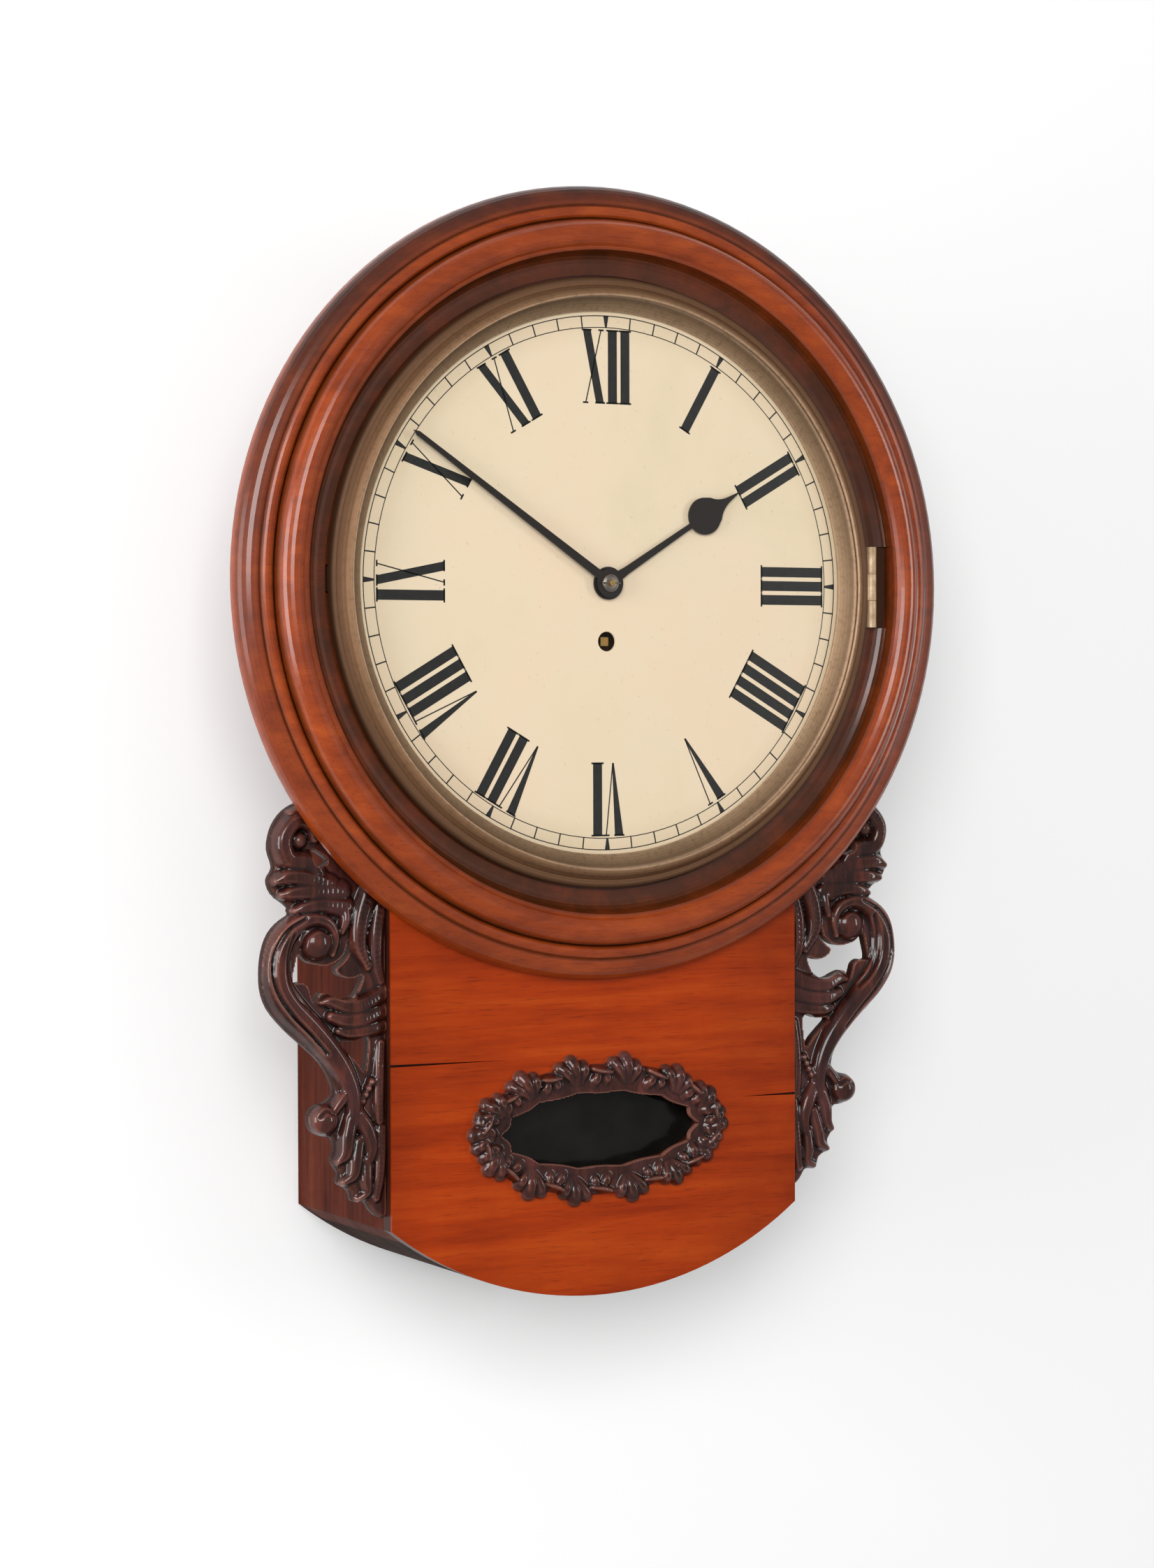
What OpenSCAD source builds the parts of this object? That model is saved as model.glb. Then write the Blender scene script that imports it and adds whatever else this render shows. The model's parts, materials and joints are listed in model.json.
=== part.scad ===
// Drop dial wall clock: a turned surround with a hinged bezel, a trunk with a curved foot,
// two pierced scroll brackets and an eight-day fusee movement with a short pendulum.
// The wall is the plane y = 0, the clock faces -Y, and the dial's centre lies on the Y axis.

/* [Case] */
// Width of the trunk
case_w = 232; // [216:1:250]
// Distance from the wall to the trunk's front face
case_d = 117; // [114:1:122]
// Height of the box's top above the dial centre
case_top = 118; // [112:1:122]
// Depth of the curved foot's lowest line below the dial centre
case_low = 361; // [355:1:375]
// Rise of the curved foot from its lowest line to the trunk's corners
foot_rise = 40; // [30:1:50]
// Thickness of the sides, back and front panel
board_t = 10; // [8:1:12]
// Thickness of the curved bottom board
foot_t = 8; // [6:1:9]

/* [Surround] */
// Outer radius of the turned surround
surround_r = 200; // [196:1:206]
// Radius of the opening behind the dial
opening_r = 125; // [120:1:130]
// Height of the torus moulding's crest above the surround's back
torus_h = 22; // [20:1:24]

/* [Pendulum window] */
// Height of the window's centre below the dial centre
window_drop = 276.5; // [270:0.5:282]
// Width of the window in the carved wreath
window_w = 114; // [100:1:120]
// Height of the window in the carved wreath
window_h = 40; // [34:1:46]
// Overall width of the carved wreath
wreath_w = 155; // [146:1:162]
// Overall height of the carved wreath
wreath_h = 78; // [70:1:86]

/* [Brackets] */
// Thickness of the carved brackets behind their raised carving
bracket_t = 6; // [5:0.5:10]

/* [Dial and bezel] */
// Radius of the painted dial plate
dial_r = 152.5; // [150:0.5:153]
// Distance from the wall to the painted face
dial_d = 126.5; // [126:0.5:127]
// Drop of the winding hole below the dial centre
winding_drop = 29.3; // [29:0.1:30]
// Radius of the sight edge where the dial shows
sight_r = 136.5; // [134:0.5:138]
// Outer radius of the bezel
bezel_r = 153.5; // [153:0.1:153.8]
// Clock angle of the minute hand
minute_angle = 304; // [0:1:359]
// Clock angle of the hour hand
hour_angle = 58; // [0:1:359]

/* [Pendulum] */
// Length from the bending point of the suspension to the middle of the bob
pendulum_l = 331; // [320:1:336]
// Height of the pallet arbor above the dial centre
pallet_z = 55; // [54:0.5:56]
// Radius of the bob
bob_r = 36; // [30:1:38]

/* [Hidden] */
$fn = 72;
fit = 0.05;
foot_r = (pow(case_w / 2, 2) + pow(foot_rise, 2)) / (2 * foot_rise);
foot_z = foot_r - case_low;
inner_w = case_w - 2 * board_t;
surround_back = case_d;
seat_d = dial_d - 1.2;
panel_top = 150;
wood = "#8a3a1c";
dark_wood = "#4a2c20";
plain_wood = "#a9743f";
brass = "#b5893f";
steel = "#8d9299";
blued = "#23252b";

// Movement, front to back
front_d = 107.5;
front_t = 2.5;
back_d = 63;
back_t = 2.5;
plate_l = -80;
plate_r = 46;
plate_b = -84;
plate_top = 68;
gap_back = back_d + back_t;
rod_d = 40;

// Wheel train
mod_great = 2 * winding_drop / (96 + 8);
mod_centre = 0.5;
mod_third = 0.45;
mod_motion = 0.5;
escape_z = 34.8;
escape_r = 15;
third_dist = mod_centre * (80 + 8) / 2;
escape_dist = mod_third * (78 + 8) / 2;
third_z = (pow(third_dist, 2) - pow(escape_dist, 2) + pow(escape_z, 2)) / (2 * escape_z);
third_x = sqrt(pow(third_dist, 2) - pow(third_z, 2));
barrel_x = -52;
barrel_z = -48;
barrel_r = 24;
minute_dir = 150;
motion_dist = mod_motion * (28 + 56) / 2;
minute_x = motion_dist * cos(minute_dir);
minute_z = motion_dist * sin(minute_dir);

// Shared forms

// Stands a flat drawing up to face the viewer, d away from the wall
module face(d) {
    translate([0, -d, 0]) rotate([90, 0, 0]) children();
}

// A slab with a drawn outline that reaches from one distance off the wall to another
module slab(from, to) {
    face(from) linear_extrude(to - from) children();
}

// A rod or hole square to the wall
module rod(x, z, r, from, to) {
    face(from) translate([x, z, 0]) cylinder(r = r, h = to - from);
}

// A turned piece on an axis square to the wall, from an outline of [radius, distance off the wall]
module turned(x, z, outline) {
    face(0) translate([x, z, 0]) rotate_extrude() polygon(outline);
}

// A board given by its lowest and highest corners
module board(low, high) {
    translate(low) cube(high - low);
}

// Points on an ellipse's arc
function arc(cx, cy, rx, ry, a0, a1, steps) =
    [for (i = [0 : steps]) let (a = a0 + (a1 - a0) * i / steps) [cx + rx * cos(a), cy + ry * sin(a)]];

// One point of a smooth closed curve through four neighbours
function blend_point(p, q, r, s, t) =
    0.5 * (2 * q + (r - p) * t + (2 * p - 5 * q + 4 * r - s) * t * t + (3 * q - p - 3 * r + s) * t * t * t);

// A smooth closed curve through hand-placed points
function smooth(pts, steps) = let (n = len(pts)) [
    for (i = [0 : n - 1]) for (k = [0 : steps - 1])
        blend_point(pts[(i + n - 1) % n], pts[i], pts[(i + 1) % n], pts[(i + 2) % n], k / steps)
];

function polar(r, a) = [r * cos(a), r * sin(a)];

// Gear teeth, in modules: the half width of an ogive tooth at a height above the pitch circle
tooth_curve = 1.6;
function ogive(half, h) = half - (tooth_curve - sqrt(tooth_curve * tooth_curve - h * h));
wheel_tooth = [[-1, 0.785], [0, ogive(0.785, 0)], [0.7, ogive(0.785, 0.7)], [1.15, ogive(0.785, 1.15)], [1.33, 0.02]];
leaf_tooth = [[-1.8, 0.24], [0, 0.525], [0.32, 0.416], [0.5, 0.16]];
even_tooth = [[-1.25, 0.68], [0, 0.68], [0.55, 0.56], [0.9, 0.3]];

// One tooth's points round the direction a, from its profile of [height, half width]
function tooth(n, m, profile, a) = concat(
    [for (p = profile) polar(m * (n / 2 + p[0]), a - degrees_of(p[1], n / 2 + p[0]))],
    [for (i = [len(profile) - 1 : -1 : 0]) let (p = profile[i])
        polar(m * (n / 2 + p[0]), a + degrees_of(p[1], n / 2 + p[0]))]
);
function degrees_of(half, r) = half / r * 180 / PI;
function toothed(n, m, profile, a) = [for (i = [0 : n - 1]) each tooth(n, m, profile, a + 360 * i / n)];

// Turn of a gear that meshes with another gear seen in the direction phi from that gear
function mesh(phi, a, n1, n2) = phi + 180 - (180 - (phi - a) * n1) / n2;

// A wheel crossed out with arms
module crossed(n, m, profile, a, rim_in, hub, arms, arm_w) {
    difference() {
        polygon(toothed(n, m, profile, a));
        difference() {
            circle(rim_in);
            circle(hub);
            for (i = [0 : arms - 1]) rotate(i * 360 / arms) translate([0, -arm_w / 2]) square([rim_in + 1, arm_w]);
        }
    }
}

// Case

// The trunk's outline seen from the front, down to the curved foot
module foot_outline(r, w, top) {
    intersection() {
        translate([-w / 2, -case_low]) square([w, case_low + top]);
        union() {
            translate([0, foot_z]) circle(r, $fn = 180);
            translate([-w / 2, foot_z]) square([w, top - foot_z]);
        }
    }
}

// The hole in the panel is a little larger than the wreath's, so that the wreath hides its edge
panel_hole_margin = 3;
module panel_hole() {
    translate([0, -window_drop]) scale([1, window_h / window_w])
        circle(r = window_w / 2 + panel_hole_margin, $fn = 64);
}

hole_hang_z = 160;
hang_w = 46;
steady_z = -286;
module back_board() color(plain_wood) {
    difference() {
        slab(0, board_t) foot_outline(foot_r - foot_t, inner_w, case_top);
        board([-hang_w / 2, -2.5, case_top - 60], [hang_w / 2, 1, case_top + 1]);
        for (p = plate_screw_at) rod(p[0], p[1], 1.6, -1, board_t - 1);
        rod(0, steady_z, 2.5, -1, board_t + 1);
    }
}

// A side board keeps its full depth behind the surround and is cut back for the front panel below it
module side(door) {
    x = inner_w / 2;
    difference() {
        union() {
            intersection() {
                slab(0, case_d - board_t) foot_outline(foot_r, case_w, case_top);
                board([x, -case_d, -case_low], [case_w / 2, 0, case_top]);
            }
            board([x, -case_d, -panel_top], [case_w / 2, -(case_d - board_t) + 1, case_top]);
        }
        for (z = [-peg_z, peg_z]) translate([x - 1, -peg_d, z]) rotate([0, 90, 0]) cylinder(r = peg_r, h = board_t + 2);
        if (door) {
            board([x - 1, -door_front - 0.4, door_low - 0.4], [x + board_t + 1, -door_back + 0.4, door_high + 0.4]);
            translate([x + 3, -button_d, button_z]) rotate([0, 90, 0]) cylinder(r = 1.5, h = board_t);
        }
    }
}
module side_right() color(wood) side(true);
module side_left() color(wood) mirror([1, 0, 0]) side(false);

module top_board() color(wood) {
    x = inner_w / 2;
    board([-x, -case_d, case_top - board_t], [x, -board_t, case_top]);
}

// A shrinkage crack: a groove along the grain that starts at one side and narrows to nothing
crack_depth = 3;
crack_half = 0.7;
module shrinkage_crack(from, to, z) {
    slab(case_d - crack_depth, case_d + 1) polygon([[from, z - crack_half], [to, z], [from, z + crack_half]]);
}
module front_panel() color(wood) {
    difference() {
        slab(case_d - board_t, case_d) foot_outline(foot_r, case_w, -panel_top);
        slab(case_d - board_t - 1, case_d + 1) panel_hole();
        shrinkage_crack(-case_w / 2 - 1, -51, -239);
        shrinkage_crack(case_w / 2 + 1, 83, -264.5);
    }
}

// Curved bottom board: a shell between two arcs
module foot_shell(r_in, r_out, from, to, x0, x1) {
    intersection() {
        difference() {
            face(from) translate([0, foot_z, 0]) cylinder(r = r_out, h = to - from, $fn = 180);
            face(from - 1) translate([0, foot_z, 0]) cylinder(r = r_in, h = to - from + 2, $fn = 180);
        }
        board([x0, -to - 1, -case_low - 5], [x1, -from + 1, -case_low + 60]);
    }
}
foot_door_w = 48;
foot_door_back = 28;
foot_door_front = 92;
module bottom_board() color(wood) {
    difference() {
        union() {
            foot_shell(foot_r - foot_t, foot_r, board_t, case_d - board_t, -inner_w / 2, inner_w / 2);
            foot_shell(foot_r - foot_t, foot_r, 0, board_t, -inner_w / 2, inner_w / 2);
        }
        board([-foot_door_w, -foot_door_front, -case_low - 5], [foot_door_w, -foot_door_back, -case_low + 40]);
        at_foot(foot_button_a) translate([0, 0, -5.5]) cylinder(r = 1.5, h = 6);
    }
}

// A local frame on the curved foot's outer face: +Z points away from the case
foot_button_a = asin(20 / foot_r);
foot_button_d = 20;
module at_foot(a) {
    translate([0, -foot_button_d, foot_z]) rotate([0, a, 0]) translate([0, 0, -foot_r]) mirror([0, 0, 1]) children();
}

// Carved wreath: a rippled frame with leaves that curl out of it and smaller ones that curl in
wreath_t = 7;
leaf_count = 14;
wreath_mid = [65.5, 28.2];
function wreath_edge(w, h, ripple, count, shift) = [
    for (i = [0 : count * 8 - 1]) let (a = 360 * i / (count * 8), k = 1 + ripple * (abs(cos(count * a / 2 + shift)) - 0.6))
        [w / 2 * k * cos(a), h / 2 * k * sin(a) - window_drop]
];

// A rib's point, from a place on the wreath's middle line, a way along it and a way out of it
function leaf_point(a, along, out, half) = let (
    x = wreath_mid[0] * cos(a), z = wreath_mid[1] * sin(a),
    t = [-wreath_mid[0] * sin(a), wreath_mid[1] * cos(a)], k = 1 / norm(t)
) [x + k * (along * t[0] + out * t[1]), z + k * (along * t[1] - out * t[0]) - window_drop, half];
module wreath_leaf(a, reach, half, share) {
    rib([leaf_point(a, -8, 0, half * 0.4), leaf_point(a, 0, reach * 0.35, half), leaf_point(a, 7, reach * 0.8, half * 0.75),
        leaf_point(a, 11, reach, half * 0.15)], share);
}
module window_wreath() color(dark_wood) {
    slab(case_d, case_d + wreath_t - 3) difference() {
        polygon(wreath_edge(wreath_w * 0.96, wreath_h * 0.94, 0.07, leaf_count, 0));
        polygon(wreath_edge(window_w, window_h, -0.06, leaf_count, 90));
    }
    for (i = [0 : leaf_count - 1]) let (a = 360 * i / leaf_count) {
        slab(case_d + 1, case_d + wreath_t - 1.2) wreath_leaf(a, 9.5, 5, 1);
        slab(case_d + 1, case_d + wreath_t) wreath_leaf(a, 9.5, 5, 0.5);
        slab(case_d + 1, case_d + wreath_t - 1.8) wreath_leaf(a + 12, -5.5, 3.6, 1);
    }
}

module window_glass() color("#30343a", 0.5) {
    slab(case_d - board_t - 2, case_d - board_t)
        translate([0, -window_drop]) square([window_w + 4 * panel_hole_margin, window_h + 3 * panel_hole_margin], center = true);
}

// Scroll bracket, drawn for the right side with u outwards from the trunk and z up
bracket_ground = 110.5;
bracket_edge = [
    [-10, -140], [-10, -125], [1, -117.5], [12, -109], [26, -106], [38, -107], [48, -109.5], [55, -114.5], [59.5, -122], [61, -131],
    [58.5, -140], [61.5, -146], [59, -153], [51, -159.5], [50.5, -163.5], [57.5, -169], [62.5, -178], [65, -188],
    [65, -199], [61.5, -209], [53, -219], [43, -228], [34.5, -236], [29, -245], [27.5, -252], [32, -256],
    [37.5, -257.5], [41, -262], [39.5, -269], [34, -272.5], [28.5, -273.5], [27, -279], [28.5, -285], [25, -291],
    [25.5, -296], [19.5, -300], [17.5, -305.5], [11, -306], [7.5, -311], [1, -314.5],
    [-10, -306], [-10, -290]
];
star_hole = [
    [19.9, -176.2], [22, -183.2], [27.5, -187.6], [34, -188.6], [41.5, -186.6], [46.2, -182.5], [48.2, -188],
    [49.5, -196.2], [44.5, -196.4], [41.2, -198.6], [39.8, -203], [37.7, -207.1], [34.9, -202], [29.5, -203],
    [24.3, -205.3], [17.9, -205], [13.6, -199.5], [12, -193.8], [17.5, -195.6], [23.5, -194.4], [26.6, -190.6],
    [22.4, -187], [19.2, -182]
];
tail_hole = [[9.6, -224.5], [17, -226.2], [24.6, -227], [20, -232], [15.3, -236.6], [11.4, -241.5], [9.8, -236]];
neck_hole = [[30.4, -137.4], [34.5, -133.8], [39.4, -131.8], [39.6, -136], [38.4, -138.8], [34, -140.2]];
// Raised carving: the middle line of each rib with its half width
scroll_rib = [
    [29, -183, 1], [27.5, -175, 2.2], [31, -168, 3], [39, -165.2, 3.6], [48, -168, 4.4], [55, -176, 5.4],
    [57.6, -187, 6], [56.4, -199, 6.4], [50, -209, 6.6], [42, -217.5, 6.2], [33.5, -226.5, 5.6], [26, -236, 5],
    [20.5, -246, 4.6], [18, -256, 3.8], [18.5, -266, 1.4]
];
leaf_ribs = [
    [[34, -147, 2.5], [41, -138, 4.6], [52, -136, 4.8], [54.5, -126, 4.4], [48.5, -118.5, 3.6], [41, -120.5, 1.4]],
    [[28, -149, 2.6], [42, -146, 3.2], [56, -147, 1]],
    [[24, -156, 2.6], [37, -155, 3.2], [49, -156, 1]],
    [[4, -140, 2.4], [9, -153, 4.6], [14, -166, 4.6], [15, -179, 3.6], [10, -190, 0.8]],
    [[2, -207, 2.4], [12, -212, 4.4], [24, -213, 4.2], [33, -209.5, 0.8]],
    [[4.2, -230, 1.4], [4.6, -244, 2.8], [4.6, -258, 2.8], [4.2, -268, 1]],
    [[15, -262, 1.6], [10.5, -271, 3.8], [8.5, -281, 3.4], [10.5, -289, 0.8]],
    [[19, -264, 1.6], [21.5, -273, 3.8], [22.5, -281, 3], [25.5, -286, 0.6]],
    [[14.5, -281, 1.4], [16.5, -288, 3], [19, -295, 0.8]]
];
// Round bosses of the carving: the big scroll's eye, the curled leaf's eye and the knob on the tail
boss_at = [[37.2, -177.3, 8.6], [46.5, -127, 4.4], [33.6, -264.4, 7.2]];

// An open smooth line through points of [u, z, half width]
function smooth_line(pts, steps) = let (n = len(pts)) concat(
    [for (i = [0 : n - 2]) for (k = [0 : steps - 1])
        blend_point(pts[max(i - 1, 0)], pts[i], pts[i + 1], pts[min(i + 2, n - 1)], k / steps)],
    [pts[n - 1]]
);

// A point at the half width to one side of a line's point
function beside(line, i, side) = let (
    a = line[max(i - 1, 0)], b = line[min(i + 1, len(line) - 1)], k = side * line[i][2] / norm([b[0] - a[0], b[1] - a[1]])
) [line[i][0] - k * (b[1] - a[1]), line[i][1] + k * (b[0] - a[0])];

module rib(knots, share) {
    line = [for (p = smooth_line(knots, 3)) [p[0], p[1], p[2] * share]];
    last = len(line) - 1;
    polygon(concat([for (i = [0 : last]) beside(line, i, 1)], [for (i = [last : -1 : 0]) beside(line, i, -1)]));
}

module bracket() {
    from = bracket_ground - bracket_t;
    translate([case_w / 2, 0, 0]) difference() {
        union() {
            slab(from, bracket_ground) polygon(smooth(bracket_edge, 3));
            for (knots = concat([scroll_rib], leaf_ribs)) {
                slab(bracket_ground - 0.5, bracket_ground + 3) rib(knots, 1);
                slab(bracket_ground + 2.5, bracket_ground + 5) rib(knots, 0.55);
            }
            for (p = boss_at) face(bracket_ground - 0.5) translate([p[0], p[1], 0]) cylinder(r1 = p[2], r2 = p[2] * 0.5, h = 6);
        }
        slab(from - 1, bracket_ground + 8) {
            polygon(smooth(star_hole, 2));
            polygon(smooth(tail_hole, 3));
            polygon(smooth(neck_hole, 3));
            translate([-20, -330]) square([20, 260]);
        }
    }
}
module bracket_right() color(dark_wood) bracket();
module bracket_left() color(dark_wood) mirror([1, 0, 0]) bracket();

// Turned surround, from the opening out over the dial seat, cove, torus, bead and ovolo
cove_r = 8;
cove_rim = 166.5;
torus_crest = surround_back + torus_h;
hinge_x = 155.5;
hinge_d = 129.5;
surround_outline = concat(
    [[opening_r, surround_back], [opening_r, seat_d], [bezel_r + 1, seat_d], [bezel_r + 1, dial_d]],
    arc(cove_rim - cove_r, dial_d + cove_r, cove_r, cove_r, 270, 360, 6),
    [[cove_rim, dial_d + cove_r + 0.8], [cove_rim + 1.8, dial_d + cove_r + 0.8]],
    arc(174.5, torus_crest - 10, 8, 10, 140, 90, 4),
    arc(174.5, torus_crest - 10, 7.9, 10, 80, 5, 6),
    [[182.2, surround_back + 11.2]],
    arc(185.9, surround_back + 11.6, 3.2, 2.2, 170, 10, 6),
    [[189.4, surround_back + 11.2], [190.2, surround_back + 11.6]],
    arc(190.6, surround_back + 2.6, surround_r - 190.6, 9, 84, 0, 6),
    [[surround_r, surround_back]]
);
dial_screw_r = 148.6;
module dial_surround() color(wood) {
    difference() {
        turned(0, 0, surround_outline);
        board([152, -200, -21.3], [165.5, -dial_d + 0.1, 21.3]);
        board([-154, -200, -7], [-149.5, -surround_back - 1.5, 7]);
        for (i = [0 : 3]) rod(dial_screw_r * cos(45 + 90 * i), dial_screw_r * sin(45 + 90 * i), 1.3, seat_d - 7, seat_d + 1);
    }
}

peg_r = 5;
peg_d = 106;
peg_z = 88;
cheek_z = 105;
module surround_cheeks() color(plain_wood) {
    x = inner_w / 2;
    for (s = [-1, 1]) difference() {
        board([s * (x - 6.2) - 6, -surround_back, -cheek_z], [s * (x - 6.2) + 6, -surround_back + 20, cheek_z]);
        for (z = [-peg_z, peg_z]) translate([s * (x - 6.2) - 8, -peg_d, z]) rotate([0, 90, 0]) cylinder(r = peg_r, h = 16);
    }
}

// Tapered hardwood pegs with a flat grip outside the case
module case_pegs() color(plain_wood) {
    x = inner_w / 2;
    for (s = [0, 1]) mirror([s, 0, 0]) for (z = [-peg_z, peg_z]) translate([x, -peg_d, z]) rotate([0, 90, 0]) {
        translate([0, 0, -14]) cylinder(r1 = peg_r - 1.2, r2 = peg_r - fit, h = 14);
        cylinder(r = peg_r - fit, h = board_t);
        translate([0, 0, board_t]) cylinder(r = peg_r + 1.5, h = 3);
        translate([-2.5, -peg_r - 1, board_t + 2]) cube([5, 2 * peg_r + 2, 12]);
    }
}

plate_screw_at = [[-15, case_top - 12], [15, case_top - 12], [-15, case_top - 48], [15, case_top - 48]];
module hanging_plate() color(brass) {
    difference() {
        slab(0, 2.5) {
            translate([-hang_w / 2, case_top - 60]) square([hang_w, 62]);
            translate([0, hole_hang_z]) circle(16);
            translate([-16, case_top]) square([32, hole_hang_z - case_top]);
        }
        rod(0, hole_hang_z, 4.5, -1, 4);
        for (p = plate_screw_at) rod(p[0], p[1], 2, -1, 4);
    }
}

module plate_screws() color(steel) {
    for (p = plate_screw_at) {
        rod(p[0], p[1], 1.55, 0.4, 8);
        rod(p[0], p[1], 2 - fit, 0.4, 2.4);
    }
}

// Side door and its hinges, on the right side
door_back = 22.4;
door_front = 85.6;
door_low = -60;
door_high = 56;
side_hinge_x = case_w / 2 + 1.9;
side_hinge_d = 20.6;
knuckle_r = 1.8;
side_hinge_z = [-44, 40];
button_d = 93;
button_z = 0;
// The free edge is bevelled, so that its inner corner clears the frame as the door swings
door_bevel = 1.3;
module side_door() color(wood) {
    x = inner_w / 2;
    translate([0, 0, door_low]) linear_extrude(door_high - door_low)
        polygon([[x, -door_back], [x, door_bevel - door_front], [case_w / 2, -door_front], [case_w / 2, -door_back]]);
}

module fixed_side_leaves() for (z = side_hinge_z) {
    difference() {
        union() {
            board([case_w / 2, -side_hinge_d, z - 12], [case_w / 2 + 1.2, -side_hinge_d + 12, z + 12]);
            for (k = [-12, 4.1]) translate([side_hinge_x, -side_hinge_d, z + k]) cylinder(r = knuckle_r, h = 7.9);
        }
        translate([side_hinge_x, -side_hinge_d, z - 4.1]) cylinder(r = knuckle_r + 0.3, h = 8.2);
    }
    translate([side_hinge_x, -side_hinge_d, z - 12]) cylinder(r = 0.8, h = 24);
}
module side_door_leaves() color(brass) for (z = side_hinge_z) {
    difference() {
        union() {
            board([case_w / 2, -side_hinge_d - 14, z - 12], [case_w / 2 + 1.2, -side_hinge_d - 0.4, z + 12]);
            translate([side_hinge_x, -side_hinge_d, z - 3.9]) cylinder(r = knuckle_r, h = 7.8);
        }
        for (k = [-12.2, 4]) translate([side_hinge_x, -side_hinge_d, z + k]) cylinder(r = knuckle_r + 0.3, h = 8.2);
        translate([side_hinge_x, -side_hinge_d, z - 14]) cylinder(r = 0.8 + fit, h = 28);
    }
}

// Turn button: a rounded bar on its screw, drawn lying flat with +Z away from the board
module turn_button() {
    difference() {
        translate([0, 0, 0.3]) linear_extrude(2.2) {
            square([16, 8], center = true);
            for (s = [-8, 8]) translate([s, 0]) circle(4);
        }
        translate([0, 0, -1]) cylinder(r = 1.5 + fit, h = 6);
    }
}
module button_screw() {
    translate([0, 0, -5]) cylinder(r = 1.5, h = 7.6);
    translate([0, 0, 2.55]) cylinder(r = 3, h = 1.2);
}
module side_door_button() color(brass) {
    translate([case_w / 2, -button_d, button_z]) rotate([0, 90, 0]) turn_button();
}

// Door in the curved foot
module bottom_door() color(wood) {
    foot_shell(foot_r - foot_t, foot_r, foot_door_back + 0.4, foot_door_front - 0.4, -foot_door_w + 0.8, foot_door_w - 0.6);
}
foot_hinge_r = foot_r + 1.95;
foot_hinge_a = asin(48 / foot_hinge_r);
foot_hinge_x = 48;
foot_hinge_z = foot_z - foot_hinge_r * cos(foot_hinge_a);
leaf_skin = 1.2;
module foot_pin(r, from, to) rod(foot_hinge_x, foot_hinge_z, r, from, to);
// Fixed leaves and pins of both doors, with the screws of their turn buttons
module door_hinges() color(brass) {
    fixed_side_leaves();
    difference() {
        union() {
            foot_shell(foot_r, foot_r + leaf_skin, 44, 76, foot_hinge_x, foot_hinge_x + 12);
            foot_pin(knuckle_r, 44, 54);
            foot_pin(knuckle_r, 66, 76);
        }
        foot_pin(knuckle_r + 0.3, 54, 66);
    }
    foot_pin(0.8, 44, 76);
    at_foot(foot_button_a) button_screw();
    translate([case_w / 2, -button_d, button_z]) rotate([0, 90, 0]) button_screw();
}
module bottom_door_leaf() color(brass) {
    difference() {
        union() {
            foot_shell(foot_r, foot_r + leaf_skin, 44, 76, foot_hinge_x - 12, foot_hinge_x - 0.7);
            foot_pin(knuckle_r, 54.1, 65.9);
        }
        foot_pin(knuckle_r + 0.3, 43, 54.1);
        foot_pin(knuckle_r + 0.3, 65.9, 77);
        foot_pin(0.8 + fit, 43, 77);
    }
}
module bottom_door_button() color(brass) {
    at_foot(foot_button_a) turn_button();
}

// Dial and bezel

module dial_plate() color("#e9dcc0") {
    slab(seat_d, dial_d) difference() {
        circle(dial_r, $fn = 180);
        circle(5.2);
        translate([0, -winding_drop]) circle(5);
        translate([-dial_r - 1, -7]) square([4.5, 14]);
        translate([hinge_x - 3.6, -21.3]) square([5, 42.6]);
        for (i = [0 : 3]) translate(polar(dial_screw_r, 45 + 90 * i)) circle(1.6);
    }
}

module dial_screws() color(steel) {
    for (i = [0 : 3]) let (p = polar(dial_screw_r, 45 + 90 * i)) {
        rod(p[0], p[1], 1.3 - fit, seat_d - 6, dial_d);
        turned(p[0], p[1], [[0, dial_d], [2.2, dial_d], [2, dial_d + 0.8], [0, dial_d + 1]]);
    }
}

foot_at = [[-40, 50], [34, 50], [-40, -62], [34, -62]];
module dial_feet() color(brass) for (p = foot_at)
    turned(p[0], p[1], [[0, front_d - 2], [2.2, front_d - 2], [2.2, front_d + front_t], [3.6, front_d + front_t],
        [3.6, seat_d - 2], [5, seat_d], [0, seat_d]]);

bezel_crest = 137;
bezel_outline = concat(
    [[bezel_r - 2, dial_d + 0.4], [bezel_r, dial_d + 0.4]],
    arc(bezel_r - 2.4, dial_d + 3, 2.4, 2.6, 0, 100, 6),
    [[149.4, dial_d + 5.8]],
    arc(144, dial_d + 5, 4.6, bezel_crest - dial_d - 5, 30, 80, 4),
    [[143.9, bezel_crest], [143.5, bezel_crest - 0.5], [143.5, 135.7], [145.4, 135.7], [145.4, 132.2], [147.6, 131.6], [149, 128.6]]
);
module bezel_ring() color(brass) {
    difference() {
        turned(0, 0, bezel_outline);
        board([hinge_x - 3.3, -140, -21], [hinge_x + 5, -120, 21]);
    }
}

module sight_ring() color(brass) {
    turned(0, 0, [[145.4, 133.3], [144.4, 133.3], [sight_r, dial_d + 1.3], [sight_r, dial_d + 0.5], [sight_r + 0.8, dial_d + 0.5], [145.4, 132.3]]);
}

module bezel_glass() color("white", 0.2) {
    slab(133.6, 135.6) circle(145.2, $fn = 180);
}

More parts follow.
